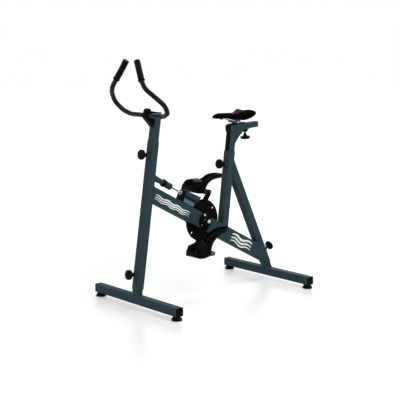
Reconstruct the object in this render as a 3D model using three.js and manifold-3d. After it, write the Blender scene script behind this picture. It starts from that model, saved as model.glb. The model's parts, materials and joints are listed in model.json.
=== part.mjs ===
// A pedalling bike for use in a swimming pool, built from square tube, in millimetres.
// X points to the front of the bike, Y to the rider's left and Z up. The bike stands on z = 0.
import * as THREE from 'three';
import { mergeVertices } from 'three/addons/utils/BufferGeometryUtils.js';
import Module from 'manifold-3d';

const wasm = await Module();
wasm.setup();

// Square tube stock
const tubeSize = 45;
const tubeWall = 2;
const tubeCorner = 4;
const slideSize = 40;
const slideWall = 2;
const slideCorner = 3;
const beamHeight = 80;

// Clearances
const weldGap = 0.3;
const fitGap = 0.3;
const runGap = 0.5;
const cutOverrun = 60;

// Base bars, their end caps and feet
const baseSpread = 955;
const baseLength = 675;
const footHeight = 22.5;
const footRadius = 28;
const footTopRadius = 21;
const footChamfer = 2;
const footInset = 23;
const footStudRadius = 4;
const footStudLength = 16;
const capThickness = 3;
const capPlugDepth = 12;
const capPlugWall = 2.5;

// Front mast: it leans back and telescopes at both ends
const frontLeanAngle = 8.35;
const stubShow = 30;
const stubInsert = 160;
const frontPostTop = 796;
const handlebarPostTop = 944.6;
const handlebarPostInsert = 190;

// Seat mast: it stands on the beam and leans back
const seatLeanAngle = 6.9;
const seatMastBack = 148.9;
const seatTubeTop = 451;
const seatPostInsert = 240;

// How far up the seat mast the rear strut's middle line meets it
const strutJoin = 396.7;

// Crank axle and the beam that carries it
const crankForward = 28.8;
const crankHeight = 404;
const beamAngle = 27.9;
const beamDrop = 7;
const axleRadius = 10;
const axleEnd = 2.5;
const axleBoreRadius = 16;
const drainRadius = 3.5;
const drainInset = 6;
const drainRise = 18;

// Bearing flanges on the sides of the beam
const flangeRadius = 42;
const flangeThickness = 8;
const flangeChamfer = 2;
const flangeBossRadius = 25;
const flangeBossLength = 14;
const flangeBolts = 3;
const flangeBoltCircle = 33;
const flangeBoltAngle = 52;
const flangeBoltRadius = 6;
const flangeBoltHeight = 4;
const bushingRadius = 15;
const bushingLip = 3;

// Brake disc
const discRadius = 114.3;
const discThickness = 5;
const discHubRadius = 27;
const discHubHalf = 15;
const discHoles = 4;
const discHoleRadius = 5.5;
const discHoleCircle = 96;
const discHoleAngle = 51.4;
const slotWidth = 14;
const slotMargin = 9;

// Cranks and pedal axles
const crankLength = 170;
const crankAngle = -55;
const crankInner = 42;
const crankThickness = 14;
const crankHubRadius = 18;
const crankEndRadius = 12;
const crankPocketDepth = 3;
const crankPocketRim = 6;
const pedalAxleRadius = 7;
const pedalAxleStart = 2;
const pedalShoulderRadius = 10;
const pedalNutRadius = 9;
const pedalNutLength = 8;

// Pedal soles
const pedalAngleLeft = 5;
const pedalAngleRight = 18;
const pedalCentre = 132;
const pedalBossRadius = 13;
const pedalBossExtra = 5;
const soleWidth = 104;
const soleHeelWidth = 78;
const soleFront = 98;
const soleRear = 50;
const soleWaist = 34;
const soleTop = 2;
const soleDish = 14;
const soleDepth = 26;
const soleBulge = 72;
const soleLip = 8;
const soleWall = 4;
const toeTop = 6;
const toeDepth = 14;
const heelDepth = 15;
const treadGrooveCount = 6;
const treadGap = 5;
const treadDepth = 3;

// Toe straps and heel guards
const strapBack = 28;
const strapLength = 54;
const strapHeight = 60;
const strapWall = 5;
const strapDroop = 16;
const strapRibs = 9;
const strapRibRadius = 2.5;
const archShoulderShare = 0.4;
const heelWidth = 60;
const heelWall = 5;
const heelReach = 152;
const heelRise = 118;

// Clamp knobs and the bosses that they screw into
const knobInset = 75;
const bossRadius = 14;
const bossLength = 12;
const studRadius = 6;
const knobNeckRadius = 9;
const knobHubRadius = 14;
const knobRadius = 26;
const knobReach = 47;
const knobThickness = 17;
const knobRim = 4;

// Handlebar, its bracket and clamp
const barRadius = 12.5;
const barForward = 59.7;
const barBelowTop = 23;
const barHalfWidth = 194;
const barReach = 115;
const barRise = 272;
const gripRadius = 16.5;
const gripLength = 112;
const gripEndThickness = 6;
const gripRingHeight = 1.5;
const topPlateThickness = 5;
const topPlateFront = 52;
const bracketWidth = 36;
const bracketDepth = 44;
const bracketPocket = 3;
const bracketRim = 6;
const bracketWeb = 6;
const cradleLength = 33;
const clampHeight = 35;
const clampWidth = 26;

// Seat slider
const sliderUp = 573.4;
const sliderForward = 28;
const sliderAngle = 4;
const housingLength = 144;
const housingHeight = 37;
const housingSlotWidth = 18;
const housingSlotFront = 24;
const housingSlotRear = 134;
const sliderBarRear = 216;
const sliderBarFront = 12;
const sliderKnobInset = 16;
const gussetDrop = 61;
const gussetReach = 46;
const gussetCurveShare = 0.4;

// Saddle clamp, from the carriage up to the rails
const yokePlateLength = 108;
const yokePlateWidth = 32;
const yokePlateThickness = 5;
const yokePlateShift = 9;
const yokeStemLength = 32;
const pivotBack = 50;
const pivotUp = 32.5;
const pivotRadius = 3.5;
const pivotHeadRadius = 6.5;
const pivotHeadLength = 4;
const lugRadius = 6.5;
const lugThickness = 16;
const jawLength = 36;
const jawWidth = 60;
const jawHeight = 6;
const jawBelow = 5;

// Saddle and its rails, from the pivot
const railRadius = 3.5;
const railSpread = 22;
const railRise = 10.5;
const railReach = 95;
const railBend = 18;
const noseReach = 157;
const saddleLength = 235;
const saddleNotch = 30;
const saddleWidth = 156;
const saddleNoseWidth = 46;
const saddleTop = 55;
const saddleDip = 4;
const saddleKick = 6;
const saddleLobe = 18;
const saddleRimRise = 27;
const saddleRimLift = 18;
const saddleWingDrop = 15;
const saddleHollow = 9;
const noseDrop = 15;
const noseRoundShare = 0.12;
const tailRoundShare = 0.1;
const tailDrawShare = 0.5;
const endRoundShare = 0.06;
const flareShares = [0.32, 0.92];
const rimLiftShares = [0.45, 1];
const wingShares = [0.42, 1.02];
const kickShares = [0.66, 1];
const notchShares = [0.55, 1];
const notchPower = 1.6;
const crownPower = 0.35;
const shellThickness = 4;
const shellGap = 0.7;
const shellSlimShare = 0.97;
const socketSize = 6.5;

// Resistance brake, in the beam's axes
const brakeAxisHeight = 75.7;
const bracketRear = 80;
const bracketFront = 192;
const bracketSlant = 34;
const bracketTop = 101;
const bracketTopDrop = 7;
const bracketWall = 4;
const grooveBottom = 50;
const grooveHeight = 9;
const grooveDepth = 2;
const shoeFront = 246;
const shoeTravel = 3.5;
const padFront = 150;
const padHeight = 32;
const padWidth = 24;
const padGap = 3.2;
const rodRadius = 4;
const rodTip = 206;
const brakeKnobRadius = 16;
const brakeKnobPlaceShare = 0.3766;
const brakeKnobLength = 62;
const brakeKnobRibs = 14;
const brakeKnobRibDepth = 1.6;
const socketRootRadius = 17;
const socketTipRadius = 13;
const socketDepthShare = 0.34;

// Smoothness of round forms, in segments
const cornerSteps = 1;
const roundSteps = 16;
const smallRoundSteps = 12;
const discSteps = 44;
const barSteps = 50;
const gripSteps = 6;
const railSteps = 32;
const heelSteps = 12;
const saddleRows = 20;
const saddleColumns = 12;

const degree = Math.PI / 180;

function steel(color) {
  return new THREE.MeshStandardMaterial({ color, roughness: 0.45, metalness: 0.2 });
}

const paint = steel(0x34464c);
const blackPaint = steel(0x111213);
const plastic = new THREE.MeshStandardMaterial({ color: 0x0d0e0f, roughness: 0.5, metalness: 0 });
const rubber = new THREE.MeshStandardMaterial({ color: 0x0a0a0b, roughness: 0.8, metalness: 0 });
const bright = new THREE.MeshStandardMaterial({ color: 0xc9ccd0, roughness: 0.25, metalness: 1 });
const nylon = new THREE.MeshStandardMaterial({ color: 0xe6e4dc, roughness: 0.5, metalness: 0 });
const vinyl = new THREE.MeshStandardMaterial({ color: 0x0b0b0c, roughness: 0.6, metalness: 0 });

// Turns a geometry into a solid whose shared corners are merged.
function solidOf(geometry) {
  const bare = new THREE.BufferGeometry();
  bare.setAttribute('position', geometry.attributes.position);
  bare.setIndex(geometry.index);
  const welded = mergeVertices(bare);
  const corners = [];
  const index = welded.index.array;
  for (let i = 0; i < index.length; i += 3) {
    const [a, b, c] = [index[i], index[i + 1], index[i + 2]];
    if (a !== b && b !== c && c !== a) corners.push(a, b, c);
  }
  return new wasm.Manifold(new wasm.Mesh({
    numProp: 3,
    vertProperties: new Float32Array(welded.attributes.position.array),
    triVerts: new Uint32Array(corners),
  }));
}

function geometryOf(solid) {
  const { vertProperties, triVerts } = solid.getMesh();
  const geometry = new THREE.BufferGeometry();
  geometry.setAttribute('position', new THREE.BufferAttribute(vertProperties, 3));
  geometry.setIndex(new THREE.BufferAttribute(triVerts, 1));
  return geometry;
}

function cut(body, ...tools) {
  return geometryOf(tools.reduce((left, tool) => left.subtract(solidOf(tool)), solidOf(body)));
}

function join(body, ...others) {
  return geometryOf(others.reduce((whole, other) => whole.add(solidOf(other)), solidOf(body)));
}

function common(body, other) {
  return geometryOf(solidOf(body).intersect(solidOf(other)));
}

// Gives a geometry in one group's axes as it stands in another group's axes.
function seen(geometry, from, to) {
  const matrix = to.matrixWorld.clone().invert().multiply(from.matrixWorld);
  return geometry.clone().applyMatrix4(matrix);
}

function axes(parent, x, z, lean) {
  const group = new THREE.Group();
  group.position.set(x, 0, z);
  group.rotation.y = lean * degree;
  parent.add(group);
  group.updateWorldMatrix(true, false);
  return group;
}

function add(group, name, geometry, material) {
  const mesh = new THREE.Mesh(geometry, material);
  mesh.name = name;
  group.add(mesh);
  return mesh;
}

// Outlines
function roundedOutline(width, height, radius) {
  const [x, y] = [width / 2 - radius, height / 2 - radius];
  const shape = new THREE.Shape();
  shape.absarc(x, y, radius, 0, Math.PI / 2);
  shape.absarc(-x, y, radius, Math.PI / 2, Math.PI);
  shape.absarc(-x, -y, radius, Math.PI, 1.5 * Math.PI);
  shape.absarc(x, -y, radius, 1.5 * Math.PI, 2 * Math.PI);
  return shape;
}

function polygon(points) {
  return new THREE.Shape(points.map(([x, y]) => new THREE.Vector2(x, y)));
}

// Solids along Z from z = 0
function prism(shape, length, steps = cornerSteps) {
  return new THREE.ExtrudeGeometry(shape, { depth: length, bevelEnabled: false, curveSegments: steps });
}

function squareTube(width, height, wall, corner, length) {
  const outer = prism(roundedOutline(width, height, corner), length);
  const inner = roundedOutline(width - 2 * wall, height - 2 * wall, corner - wall);
  return cut(outer, prism(inner, length + 2 * cutOverrun).translate(0, 0, -cutOverrun));
}

// A revolved solid round Z. The profile is a list of [radius, height], from the bottom up.
function turned(profile, steps = roundSteps) {
  const points = profile.map(([r, z]) => new THREE.Vector2(r, z));
  return new THREE.LatheGeometry(points, steps).rotateX(Math.PI / 2);
}

function rod(radius, low, high, steps = smallRoundSteps) {
  return turned([[0, low], [radius, low], [radius, high], [0, high]], steps);
}

// A side view in X and Z, carried across Y from low to high
function sideways(shape, low, high, steps = cornerSteps) {
  return prism(shape, high - low, steps).rotateX(Math.PI / 2).translate(0, high, 0);
}

function box(x, y, z) {
  const size = [x[1] - x[0], y[1] - y[0], z[1] - z[0]];
  const geometry = new THREE.BoxGeometry(...size);
  return geometry.translate((x[0] + x[1]) / 2, (y[0] + y[1]) / 2, (z[0] + z[1]) / 2);
}

// The radius of a many-sided bore that clears a round piece all the way round
const around = (radius, steps) => (radius + fitGap) / Math.cos(Math.PI / steps);

const alongX = (geometry) => geometry.rotateY(Math.PI / 2);
const alongY = (geometry) => geometry.rotateX(-Math.PI / 2);
const alongMinusY = (geometry) => geometry.rotateX(Math.PI / 2);

// The axes that carry the pieces
const bike = new THREE.Group();
bike.updateWorldMatrix(true, false);
const barTop = footHeight + tubeSize;
const reach = baseSpread + frontPostTop;
const half = tubeSize / 2;
const frontBase = axes(bike, baseSpread / 2, barTop, 0);
const rearBase = axes(bike, -baseSpread / 2, barTop, 0);
const frontMast = axes(bike, baseSpread / 2, barTop, -frontLeanAngle);
const beamAxes = axes(bike, crankForward, crankHeight, -beamAngle);
const crankAxes = axes(bike, crankForward, crankHeight, 0);

// The seat mast starts on the beam's middle line. The strut and the slider are placed along it.
const beamFall = seatMastBack * Math.tan(beamAngle * degree) + beamDrop / Math.cos(beamAngle * degree);
const seatMast = axes(bike, crankForward - seatMastBack, crankHeight - beamFall, -seatLeanAngle);
const strutEnd = new THREE.Vector3(0, 0, strutJoin).applyMatrix4(seatMast.matrixWorld);
const strutLean = Math.atan2(strutEnd.x + baseSpread / 2, strutEnd.z - barTop);
const rearStrut = axes(bike, -baseSpread / 2, barTop, strutLean / degree);
const sliderFoot = new THREE.Vector3(0, 0, sliderUp).applyMatrix4(seatMast.matrixWorld);
const sliderAxes = axes(bike, sliderFoot.x + sliderForward, sliderFoot.z, sliderAngle);

// How far along Z, at x in one group's axes, a level of another group's axes is met
function meet(group, x, other, level) {
  const matrix = other.matrixWorld.clone().invert().multiply(group.matrixWorld);
  const foot = new THREE.Vector3(x, 0, 0).applyMatrix4(matrix);
  const climb = new THREE.Vector3(0, 0, 1).transformDirection(matrix);
  return (level - foot.z) / climb.z;
}

// How far along X, at z in the beam's axes, the front post's rear face is met
function meetPost(z) {
  const matrix = frontMast.matrixWorld.clone().invert().multiply(beamAxes.matrixWorld);
  const foot = new THREE.Vector3(0, 0, z).applyMatrix4(matrix);
  const run = new THREE.Vector3(1, 0, 0).transformDirection(matrix);
  return (-half - foot.x) / run.x;
}

// A large block used to trim a tube end: everything past a plane at x, or at z, in the given axes
function pastX(group, x, sign, target) {
  const span = sign > 0 ? [x, x + reach] : [x - reach, x];
  return seen(box(span, [-reach, reach], [-reach, reach]), group, target);
}

function pastZ(group, z, sign, target) {
  const span = sign > 0 ? [z, z + reach] : [z - reach, z];
  return seen(box([-reach, reach], [-reach, reach], span), group, target);
}

// The boss round a clamp knob's stud, along +X of its axes, standing on a face at x
function boss(x, z) {
  return alongX(rod(bossRadius, x - tubeWall / 2, x + bossLength, roundSteps)).translate(0, 0, z);
}

function studHole(x, z) {
  const hole = rod(studRadius + fitGap, x - tubeWall - cutOverrun / 4, x + bossLength + cutOverrun);
  return alongX(hole).translate(0, 0, z);
}

function frontPost() {
  const length = frontPostTop - stubShow;
  const tube = squareTube(tubeSize, tubeSize, tubeWall, tubeCorner, length).translate(0, 0, stubShow);
  const knobs = [stubShow + knobInset, frontPostTop - knobInset];
  const bossed = join(tube, ...knobs.map((z) => boss(half, z)));
  return cut(bossed, ...knobs.map((z) => studHole(half, z)));
}

function seatTube() {
  const length = seatTubeTop + cutOverrun;
  const tube = squareTube(tubeSize, tubeSize, tubeWall, tubeCorner, length).translate(0, 0, -cutOverrun);
  const z = seatTubeTop - knobInset;
  const trim = pastZ(beamAxes, beamHeight / 2 - beamDrop + weldGap, -1, seatMast);
  return cut(join(tube, boss(half, z)), studHole(half, z), trim);
}

// The strut's knob is on its rear face, so its boss points along -X.
function rearStrutTube() {
  const length = baseSpread;
  const tube = squareTube(tubeSize, tubeSize, tubeWall, tubeCorner, length).translate(0, 0, stubShow);
  const z = stubShow + knobInset;
  const rearBoss = boss(half, z).rotateZ(Math.PI);
  const trim = pastX(seatMast, -half - weldGap, 1, rearStrut);
  return cut(join(tube, rearBoss), studHole(half, z).rotateZ(Math.PI), trim);
}

// The beam is slotted top and bottom for the disc, bored for the axle and drained at its low end.
function beam() {
  const tube = alongX(squareTube(beamHeight, tubeSize, tubeWall, tubeCorner, 2 * baseSpread));
  tube.translate(-baseSpread, 0, -beamDrop);
  const bore = alongY(rod(axleBoreRadius, -tubeSize, tubeSize, roundSteps));
  const nearFace = beamHeight / 2 - beamDrop;
  const slotHalf = Math.sqrt(discRadius ** 2 - (nearFace - tubeWall) ** 2) + slotMargin;
  const slot = box([-slotHalf, slotHalf], [-slotWidth / 2, slotWidth / 2], [-beamHeight, beamHeight]);
  const drainX = half + drainInset;
  const drainZ = meet(rearStrut, drainX, beamAxes, -beamHeight / 2 - beamDrop) + drainRise;
  const drain = seen(alongY(rod(drainRadius, -tubeSize, tubeSize)).translate(drainX, 0, drainZ),
    rearStrut, beamAxes);
  const frontTrim = pastX(frontMast, -half - weldGap, 1, beamAxes);
  const rearTrim = pastX(rearStrut, half + weldGap, -1, beamAxes);
  return cut(tube, bore, slot, drain, frontTrim, rearTrim);
}

// A bearing flange on one side of the beam, with hexagon bolt heads
function flange(side) {
  const face = half + weldGap;
  const top = face + flangeThickness;
  const bossTop = face + flangeBossLength;
  const plate = turned([
    [0, face], [flangeRadius, face], [flangeRadius, top - flangeChamfer],
    [flangeRadius - flangeChamfer, top], [flangeBossRadius, top],
    [flangeBossRadius - flangeChamfer, bossTop], [0, bossTop],
  ], discSteps / 2);
  const heads = [];
  for (let i = 0; i < flangeBolts; i += 1) {
    const angle = flangeBoltAngle * degree + 2 * Math.PI * i / flangeBolts;
    const [x, y] = [flangeBoltCircle * Math.cos(angle), -side * flangeBoltCircle * Math.sin(angle)];
    const head = rod(flangeBoltRadius, top - flangeBoltHeight / 4, top + flangeBoltHeight, 6);
    heads.push(head.translate(x, y, 0));
  }
  const bore = rod(bushingRadius + fitGap, face - cutOverrun, bossTop + cutOverrun, roundSteps);
  const whole = cut(join(plate, ...heads), bore);
  return side > 0 ? alongY(whole) : alongMinusY(whole);
}

function bushing(side) {
  const inner = half - tubeWall - bushingLip;
  const outer = half + weldGap + flangeBossLength;
  const bore = around(axleRadius, roundSteps);
  const ring = turned([
    [bore, inner], [bushingRadius, inner], [bushingRadius, outer], [bore, outer], [bore, inner],
  ]);
  return side > 0 ? alongY(ring) : alongMinusY(ring);
}

// Base bars lie along Y with their tops at z = 0 of their axes.
function baseBar() {
  const length = baseLength - 2 * capThickness - 2 * weldGap;
  const tube = alongY(squareTube(tubeSize, tubeSize, tubeWall, tubeCorner, length));
  tube.translate(0, -length / 2, -half);
  const holes = [1, -1].map((side) => {
    const hole = rod(footStudRadius + fitGap, -tubeSize - tubeWall, -tubeSize + 2 * tubeWall);
    return hole.translate(0, side * (baseLength / 2 - footInset), 0);
  });
  return cut(tube, ...holes);
}

function baseCap() {
  const plate = prism(roundedOutline(tubeSize, tubeSize, tubeCorner), capThickness);
  const plugSize = tubeSize - 2 * tubeWall - 2 * fitGap;
  const inset = tubeCorner - tubeWall;
  const plug = prism(roundedOutline(plugSize, plugSize, inset), capPlugDepth + tubeWall / 2);
  const coreSize = plugSize - 2 * capPlugWall;
  const core = prism(roundedOutline(coreSize, coreSize, inset), capPlugDepth + cutOverrun);
  plug.translate(0, 0, -capPlugDepth);
  core.translate(0, 0, -capPlugDepth - cutOverrun);
  return cut(join(plate, plug), core);
}

function foot() {
  const seat = footHeight - weldGap;
  return turned([
    [0, 0], [footRadius - footChamfer, 0], [footRadius, footChamfer], [footRadius, footHeight / 3],
    [footTopRadius, footHeight * 2 / 3], [footTopRadius, seat], [footStudRadius, seat],
    [footStudRadius, seat + footStudLength], [0, seat + footStudLength],
  ]);
}

// The inner tube that stands on a base bar and slides in the outer tube above it
function stub(mast, base) {
  const tube = squareTube(slideSize, slideSize, slideWall, slideCorner, stubShow + stubInsert + cutOverrun);
  tube.translate(0, 0, -cutOverrun);
  return cut(tube, pastZ(base, weldGap, -1, mast));
}

function addBase(name, base, mast) {
  add(base, `${name}_base_bar`, baseBar(), paint);
  add(mast, `${name}_base_stub`, stub(mast, base), paint);
  for (const [side, word] of [[1, 'left'], [-1, 'right']]) {
    const cap = side > 0 ? alongY(baseCap()) : alongMinusY(baseCap());
    cap.translate(0, side * (baseLength / 2 - capThickness), -half);
    add(base, `${name}_base_cap_${word}`, cap, plastic);
    const y = side * (baseLength / 2 - footInset);
    add(base, `${name}_foot_${word}`, foot().translate(0, y, -barTop), rubber);
  }
}

// A clamp knob along +X: its stud passes the boss, and its domed head stands off the tube's face.
function knob(face) {
  const tip = face - tubeWall - runGap + fitGap;
  const neck = face + bossLength + fitGap;
  const low = face + knobReach - knobThickness / 2;
  const high = low + knobThickness;
  return alongX(turned([
    [0, tip], [studRadius, tip], [studRadius, neck], [knobNeckRadius, neck],
    [knobNeckRadius, low - knobRim], [knobHubRadius, low], [knobRadius - knobRim / 2, low],
    [knobRadius, low + knobRim / 2], [knobRadius, high - 2 * knobRim],
    [knobRadius - knobRim, high - knobRim], [knobHubRadius, high - knobRim / 4], [0, high],
  ]));
}

const postPlateLow = handlebarPostTop - topPlateThickness;

function handlebarPost() {
  const low = frontPostTop - handlebarPostInsert;
  const length = postPlateLow - weldGap - low;
  return squareTube(slideSize, slideSize, slideWall, slideCorner, length).translate(0, 0, low);
}

const barZ = handlebarPostTop - barBelowTop;

// The wedge under the crossbar, with a shallow pocket in each side and a cradle for the bar.
// A web runs up the post's front to the plate that closes the post.
function handlebarBracket() {
  const back = slideSize / 2 + weldGap;
  const front = barForward + cradleLength / 2;
  const wedgeTop = barZ - barRadius;
  const outline = polygon([
    [back, wedgeTop - bracketDepth], [back, handlebarPostTop], [back + bracketWeb, handlebarPostTop],
    [back + bracketWeb, barZ - weldGap], [front, barZ - weldGap], [front, wedgeTop],
  ]);
  const pocket = polygon([
    [back + bracketRim, wedgeTop - bracketDepth + 3 * bracketRim],
    [back + bracketRim, wedgeTop - bracketRim], [front - 2.5 * bracketRim, wedgeTop - bracketRim],
  ]);
  const side = bracketWidth / 2;
  const left = sideways(pocket, side - bracketPocket, side + cutOverrun);
  const right = sideways(pocket, -side - cutOverrun, -side + bracketPocket);
  const bed = alongY(rod(around(barRadius, roundSteps), -side - cutOverrun, side + cutOverrun, roundSteps));
  const wedge = cut(sideways(outline, -side, side), left, right, bed.translate(barForward, 0, barZ));
  const wide = [-slideSize / 2, slideSize / 2];
  return join(wedge, box([-slideSize / 2, topPlateFront], wide, [postPlateLow, handlebarPostTop]));
}

// The cap over the crossbar: a half-round block with a notch for the bracket's plate
function handlebarClamp() {
  const bottom = barZ + weldGap;
  const shoulder = bottom + clampHeight / 3;
  const top = barZ + clampHeight;
  const [rear, front] = [barForward - cradleLength / 2, barForward + cradleLength / 2];
  const shape = new THREE.Shape();
  shape.moveTo(front, bottom);
  shape.lineTo(front, shoulder);
  shape.quadraticCurveTo(front, top, barForward, top);
  shape.quadraticCurveTo(rear, top, rear, shoulder);
  shape.lineTo(rear, bottom);
  const block = sideways(shape, -clampWidth / 2, clampWidth / 2, 4 * cornerSteps);
  const bore = alongY(rod(around(barRadius, roundSteps), -cutOverrun, cutOverrun, roundSteps));
  const plate = box([-slideSize, topPlateFront + fitGap], [-cutOverrun, cutOverrun],
    [postPlateLow - fitGap, handlebarPostTop + fitGap]);
  return cut(block, bore.translate(barForward, 0, barZ), plate);
}

// The handlebar's centre line on the left side, from the middle outwards, as shares of the
// bar's reach, half width and rise
const barLineShares = [
  [0, 0, 0], [0, 0.36, 0], [0, 0.695, 0.007], [0.07, 0.83, 0.044], [0.12, 0.915, 0.075],
  [0.425, 1, 0.224], [0.79, 0.858, 0.392], [0.98, 0.696, 0.512], [1, 0.576, 0.615],
  [0.91, 0.4, 0.8], [0.82, 0.23, 1],
];

// The handlebar's line from one tip to the other, round the crossbar's middle
function barCurve(side) {
  const place = ([x, y, z], way) => new THREE.Vector3(x * barReach, way * y * barHalfWidth, z * barRise);
  const first = barLineShares.slice(1).reverse().map((share) => place(share, -side));
  const second = barLineShares.map((share) => place(share, side));
  return new THREE.CatmullRomCurve3([...first, ...second], false, 'centripetal');
}

// A stretch of a curve by length, which may run straight on past the curve's end
class Stretch extends THREE.Curve {
  constructor(path, low, high) {
    super();
    Object.assign(this, { path, low, high, whole: path.getLength() });
  }

  getPoint(share) {
    const at = this.low + (this.high - this.low) * share;
    if (at <= this.whole) return this.path.getPointAt(at / this.whole);
    return this.path.getTangentAt(1).multiplyScalar(at - this.whole).add(this.path.getPointAt(1));
  }
}

function tubeAlong(curve, radius, steps, sides = smallRoundSteps) {
  const shape = new THREE.Shape().absarc(0, 0, radius, 0, 2 * Math.PI);
  return new THREE.ExtrudeGeometry(shape, { extrudePath: curve, steps, curveSegments: sides / 2 });
}

function handlebar() {
  return tubeAlong(barCurve(1), barRadius, barSteps);
}

function grip(side) {
  const path = barCurve(side);
  const tip = path.getLength();
  const start = tip - gripLength;
  const outer = tubeAlong(new Stretch(path, start, tip + fitGap + gripEndThickness), gripRadius, gripSteps);
  const collarStart = start + gripRingHeight;
  const flange = new Stretch(path, collarStart, collarStart + gripEndThickness);
  const collar = tubeAlong(flange, gripRadius + gripRingHeight, 1);
  const boreRadius = around(barRadius, smallRoundSteps);
  const bore = tubeAlong(new Stretch(path, start - gripLength, tip + fitGap), boreRadius, 2 * gripSteps);
  return cut(join(outer, collar), bore);
}

// How far up the seat mast the underside of the slider housing lies
const seatMeet = meet(seatMast, 0, sliderAxes, -housingHeight / 2);

function seatPost() {
  const low = seatTubeTop - seatPostInsert;
  const tube = squareTube(slideSize, slideSize, slideWall, slideCorner, seatMeet - low + cutOverrun);
  tube.translate(0, 0, low);
  return cut(tube, pastZ(sliderAxes, -housingHeight / 2 - weldGap, 1, seatMast));
}

// The slotted housing on the seat post, with a gusset behind the post and a boss for its knob
function sliderHousing() {
  const length = housingLength - capThickness - weldGap;
  const tube = alongX(squareTube(housingHeight, slideSize, slideWall, slideCorner, length));
  tube.translate(-housingLength, 0, 0);
  const sideSpan = [-housingSlotWidth / 2, housingSlotWidth / 2];
  const slot = box([-housingSlotRear, -housingSlotFront], sideSpan, [0, housingHeight]);
  const x = sliderKnobInset - housingLength;
  const lowBoss = boss(housingHeight / 2, 0).rotateY(Math.PI / 2).translate(x, 0, 0);
  const hole = studHole(housingHeight / 2, 0).rotateY(Math.PI / 2).translate(x, 0, 0);
  const [back, low] = [-slideSize / 2 - weldGap, seatMeet - gussetDrop];
  const tail = back - gussetReach;
  const above = seatMeet + housingHeight;
  const shape = new THREE.Shape();
  shape.moveTo(back, low);
  shape.lineTo(back, above);
  shape.lineTo(tail, above);
  shape.lineTo(tail, seatMeet);
  shape.quadraticCurveTo(back - gussetReach * gussetCurveShare, seatMeet - gussetDrop * gussetCurveShare,
    back, low);
  const wedge = sideways(shape, -slideSize / 2, slideSize / 2, 6 * cornerSteps);
  const trim = pastZ(sliderAxes, slideWall / 2 - housingHeight / 2, 1, seatMast);
  const gusset = seen(cut(wedge, trim), seatMast, sliderAxes);
  return cut(join(tube, lowBoss, gusset), slot, hole);
}

function housingCap() {
  const plate = prism(roundedOutline(housingHeight, slideSize, slideCorner), capThickness);
  const plugHeight = housingHeight - 2 * slideWall - 2 * fitGap;
  const plugWidth = slideSize - 2 * slideWall - 2 * fitGap;
  const plug = prism(roundedOutline(plugHeight, plugWidth, slideCorner - slideWall), 2 * capThickness);
  return alongX(join(plate, plug.translate(0, 0, -1.5 * capThickness))).translate(-capThickness, 0, 0);
}

const sliderBarWidth = slideSize - 2 * slideWall - 2 * runGap;
const sliderBarHeight = housingHeight - 2 * slideWall - 2 * runGap;
const plateLow = housingHeight / 2 + runGap;

// The bar that slides in the housing, with the web that comes up through the slot
function seatSlider() {
  const length = sliderBarRear - sliderBarFront;
  const tube = alongX(squareTube(sliderBarHeight, sliderBarWidth, slideWall, slideCorner, length));
  tube.translate(-sliderBarRear, 0, 0);
  const halfWeb = housingSlotWidth / 2 - runGap;
  const webSpan = [-pivotBack - yokeStemLength / 2, -pivotBack + yokeStemLength / 2];
  const web = box(webSpan, [-halfWeb, halfWeb], [sliderBarHeight / 2 - slideWall, plateLow - weldGap]);
  return join(tube, web);
}

// The plate over the slot, narrowing upwards to the lug that holds the saddle's pivot bolt
function saddleCarriage() {
  const plateTop = plateLow + yokePlateThickness;
  const shape = new THREE.Shape();
  const rise = pivotUp - plateTop;
  shape.moveTo(-pivotBack + yokeStemLength / 2, plateTop - yokePlateThickness / 2);
  shape.quadraticCurveTo(-pivotBack + lugRadius, plateTop + rise / 3, -pivotBack + lugRadius, pivotUp);
  shape.absarc(-pivotBack, pivotUp, lugRadius, 0, Math.PI);
  shape.quadraticCurveTo(-pivotBack - lugRadius, plateTop + rise / 3, -pivotBack - yokeStemLength / 2,
    plateTop - yokePlateThickness / 2);
  const lug = sideways(shape, -lugThickness / 2, lugThickness / 2, 4 * cornerSteps);
  const plate = prism(roundedOutline(yokePlateLength, yokePlateWidth, slideCorner), yokePlateThickness);
  plate.translate(-pivotBack - yokePlateShift, 0, plateLow);
  const bore = alongY(rod(pivotRadius + fitGap, -cutOverrun, cutOverrun)).translate(-pivotBack, 0, pivotUp);
  return cut(join(plate, lug), bore);
}

// The saddle's pieces are made round the pivot, with the rails above it.
function pivotBolt() {
  const face = jawWidth / 2 + fitGap;
  const shank = rod(pivotRadius, -face - pivotHeadLength, face + pivotHeadLength);
  const heads = [1, -1].map((side) => {
    const head = rod(pivotHeadRadius, 0, pivotHeadLength, 6);
    return head.translate(0, 0, side > 0 ? face : -face - pivotHeadLength);
  });
  return alongY(join(shank, ...heads));
}

// The cradle under the rails straddles the lug, and the jaw closes over them.
function saddleCradle() {
  const shape = roundedOutline(jawLength, jawBelow + railRise - weldGap / 2, slideCorner);
  const block = sideways(shape, -jawWidth / 2, jawWidth / 2);
  block.translate(0, 0, (railRise - weldGap / 2 - jawBelow) / 2);
  const halfLug = lugThickness / 2 + runGap;
  const lugSpace = box([-jawLength, jawLength], [-halfLug, halfLug], [-jawLength, lugRadius + runGap]);
  const bore = alongY(rod(pivotRadius + fitGap, -cutOverrun, cutOverrun));
  return cut(block, lugSpace, bore, rails(railRadius + fitGap));
}

function saddleJaw() {
  const shape = roundedOutline(jawLength, jawHeight, slideCorner);
  const block = sideways(shape, -jawWidth / 2, jawWidth / 2);
  block.translate(0, 0, railRise + (jawHeight + weldGap) / 2);
  return cut(block, rails(railRadius + fitGap));
}

// The rails are one rod, bent round at the nose and turned up into the saddle at the rear.
const railLineShares = [
  [-0.62, 1.5, 1], [-0.5, 1.35, 0.62], [-0.3, 1.08, 0.12], [-0.12, 1, 0], [0.16, 1, 0], [0.34, 1, 0.03],
  [0.62, 0.8, 0.42], [0.88, 0.52, 0.66], [0.97, 0.3, 0.7], [1, 0, 0.7],
];

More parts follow.
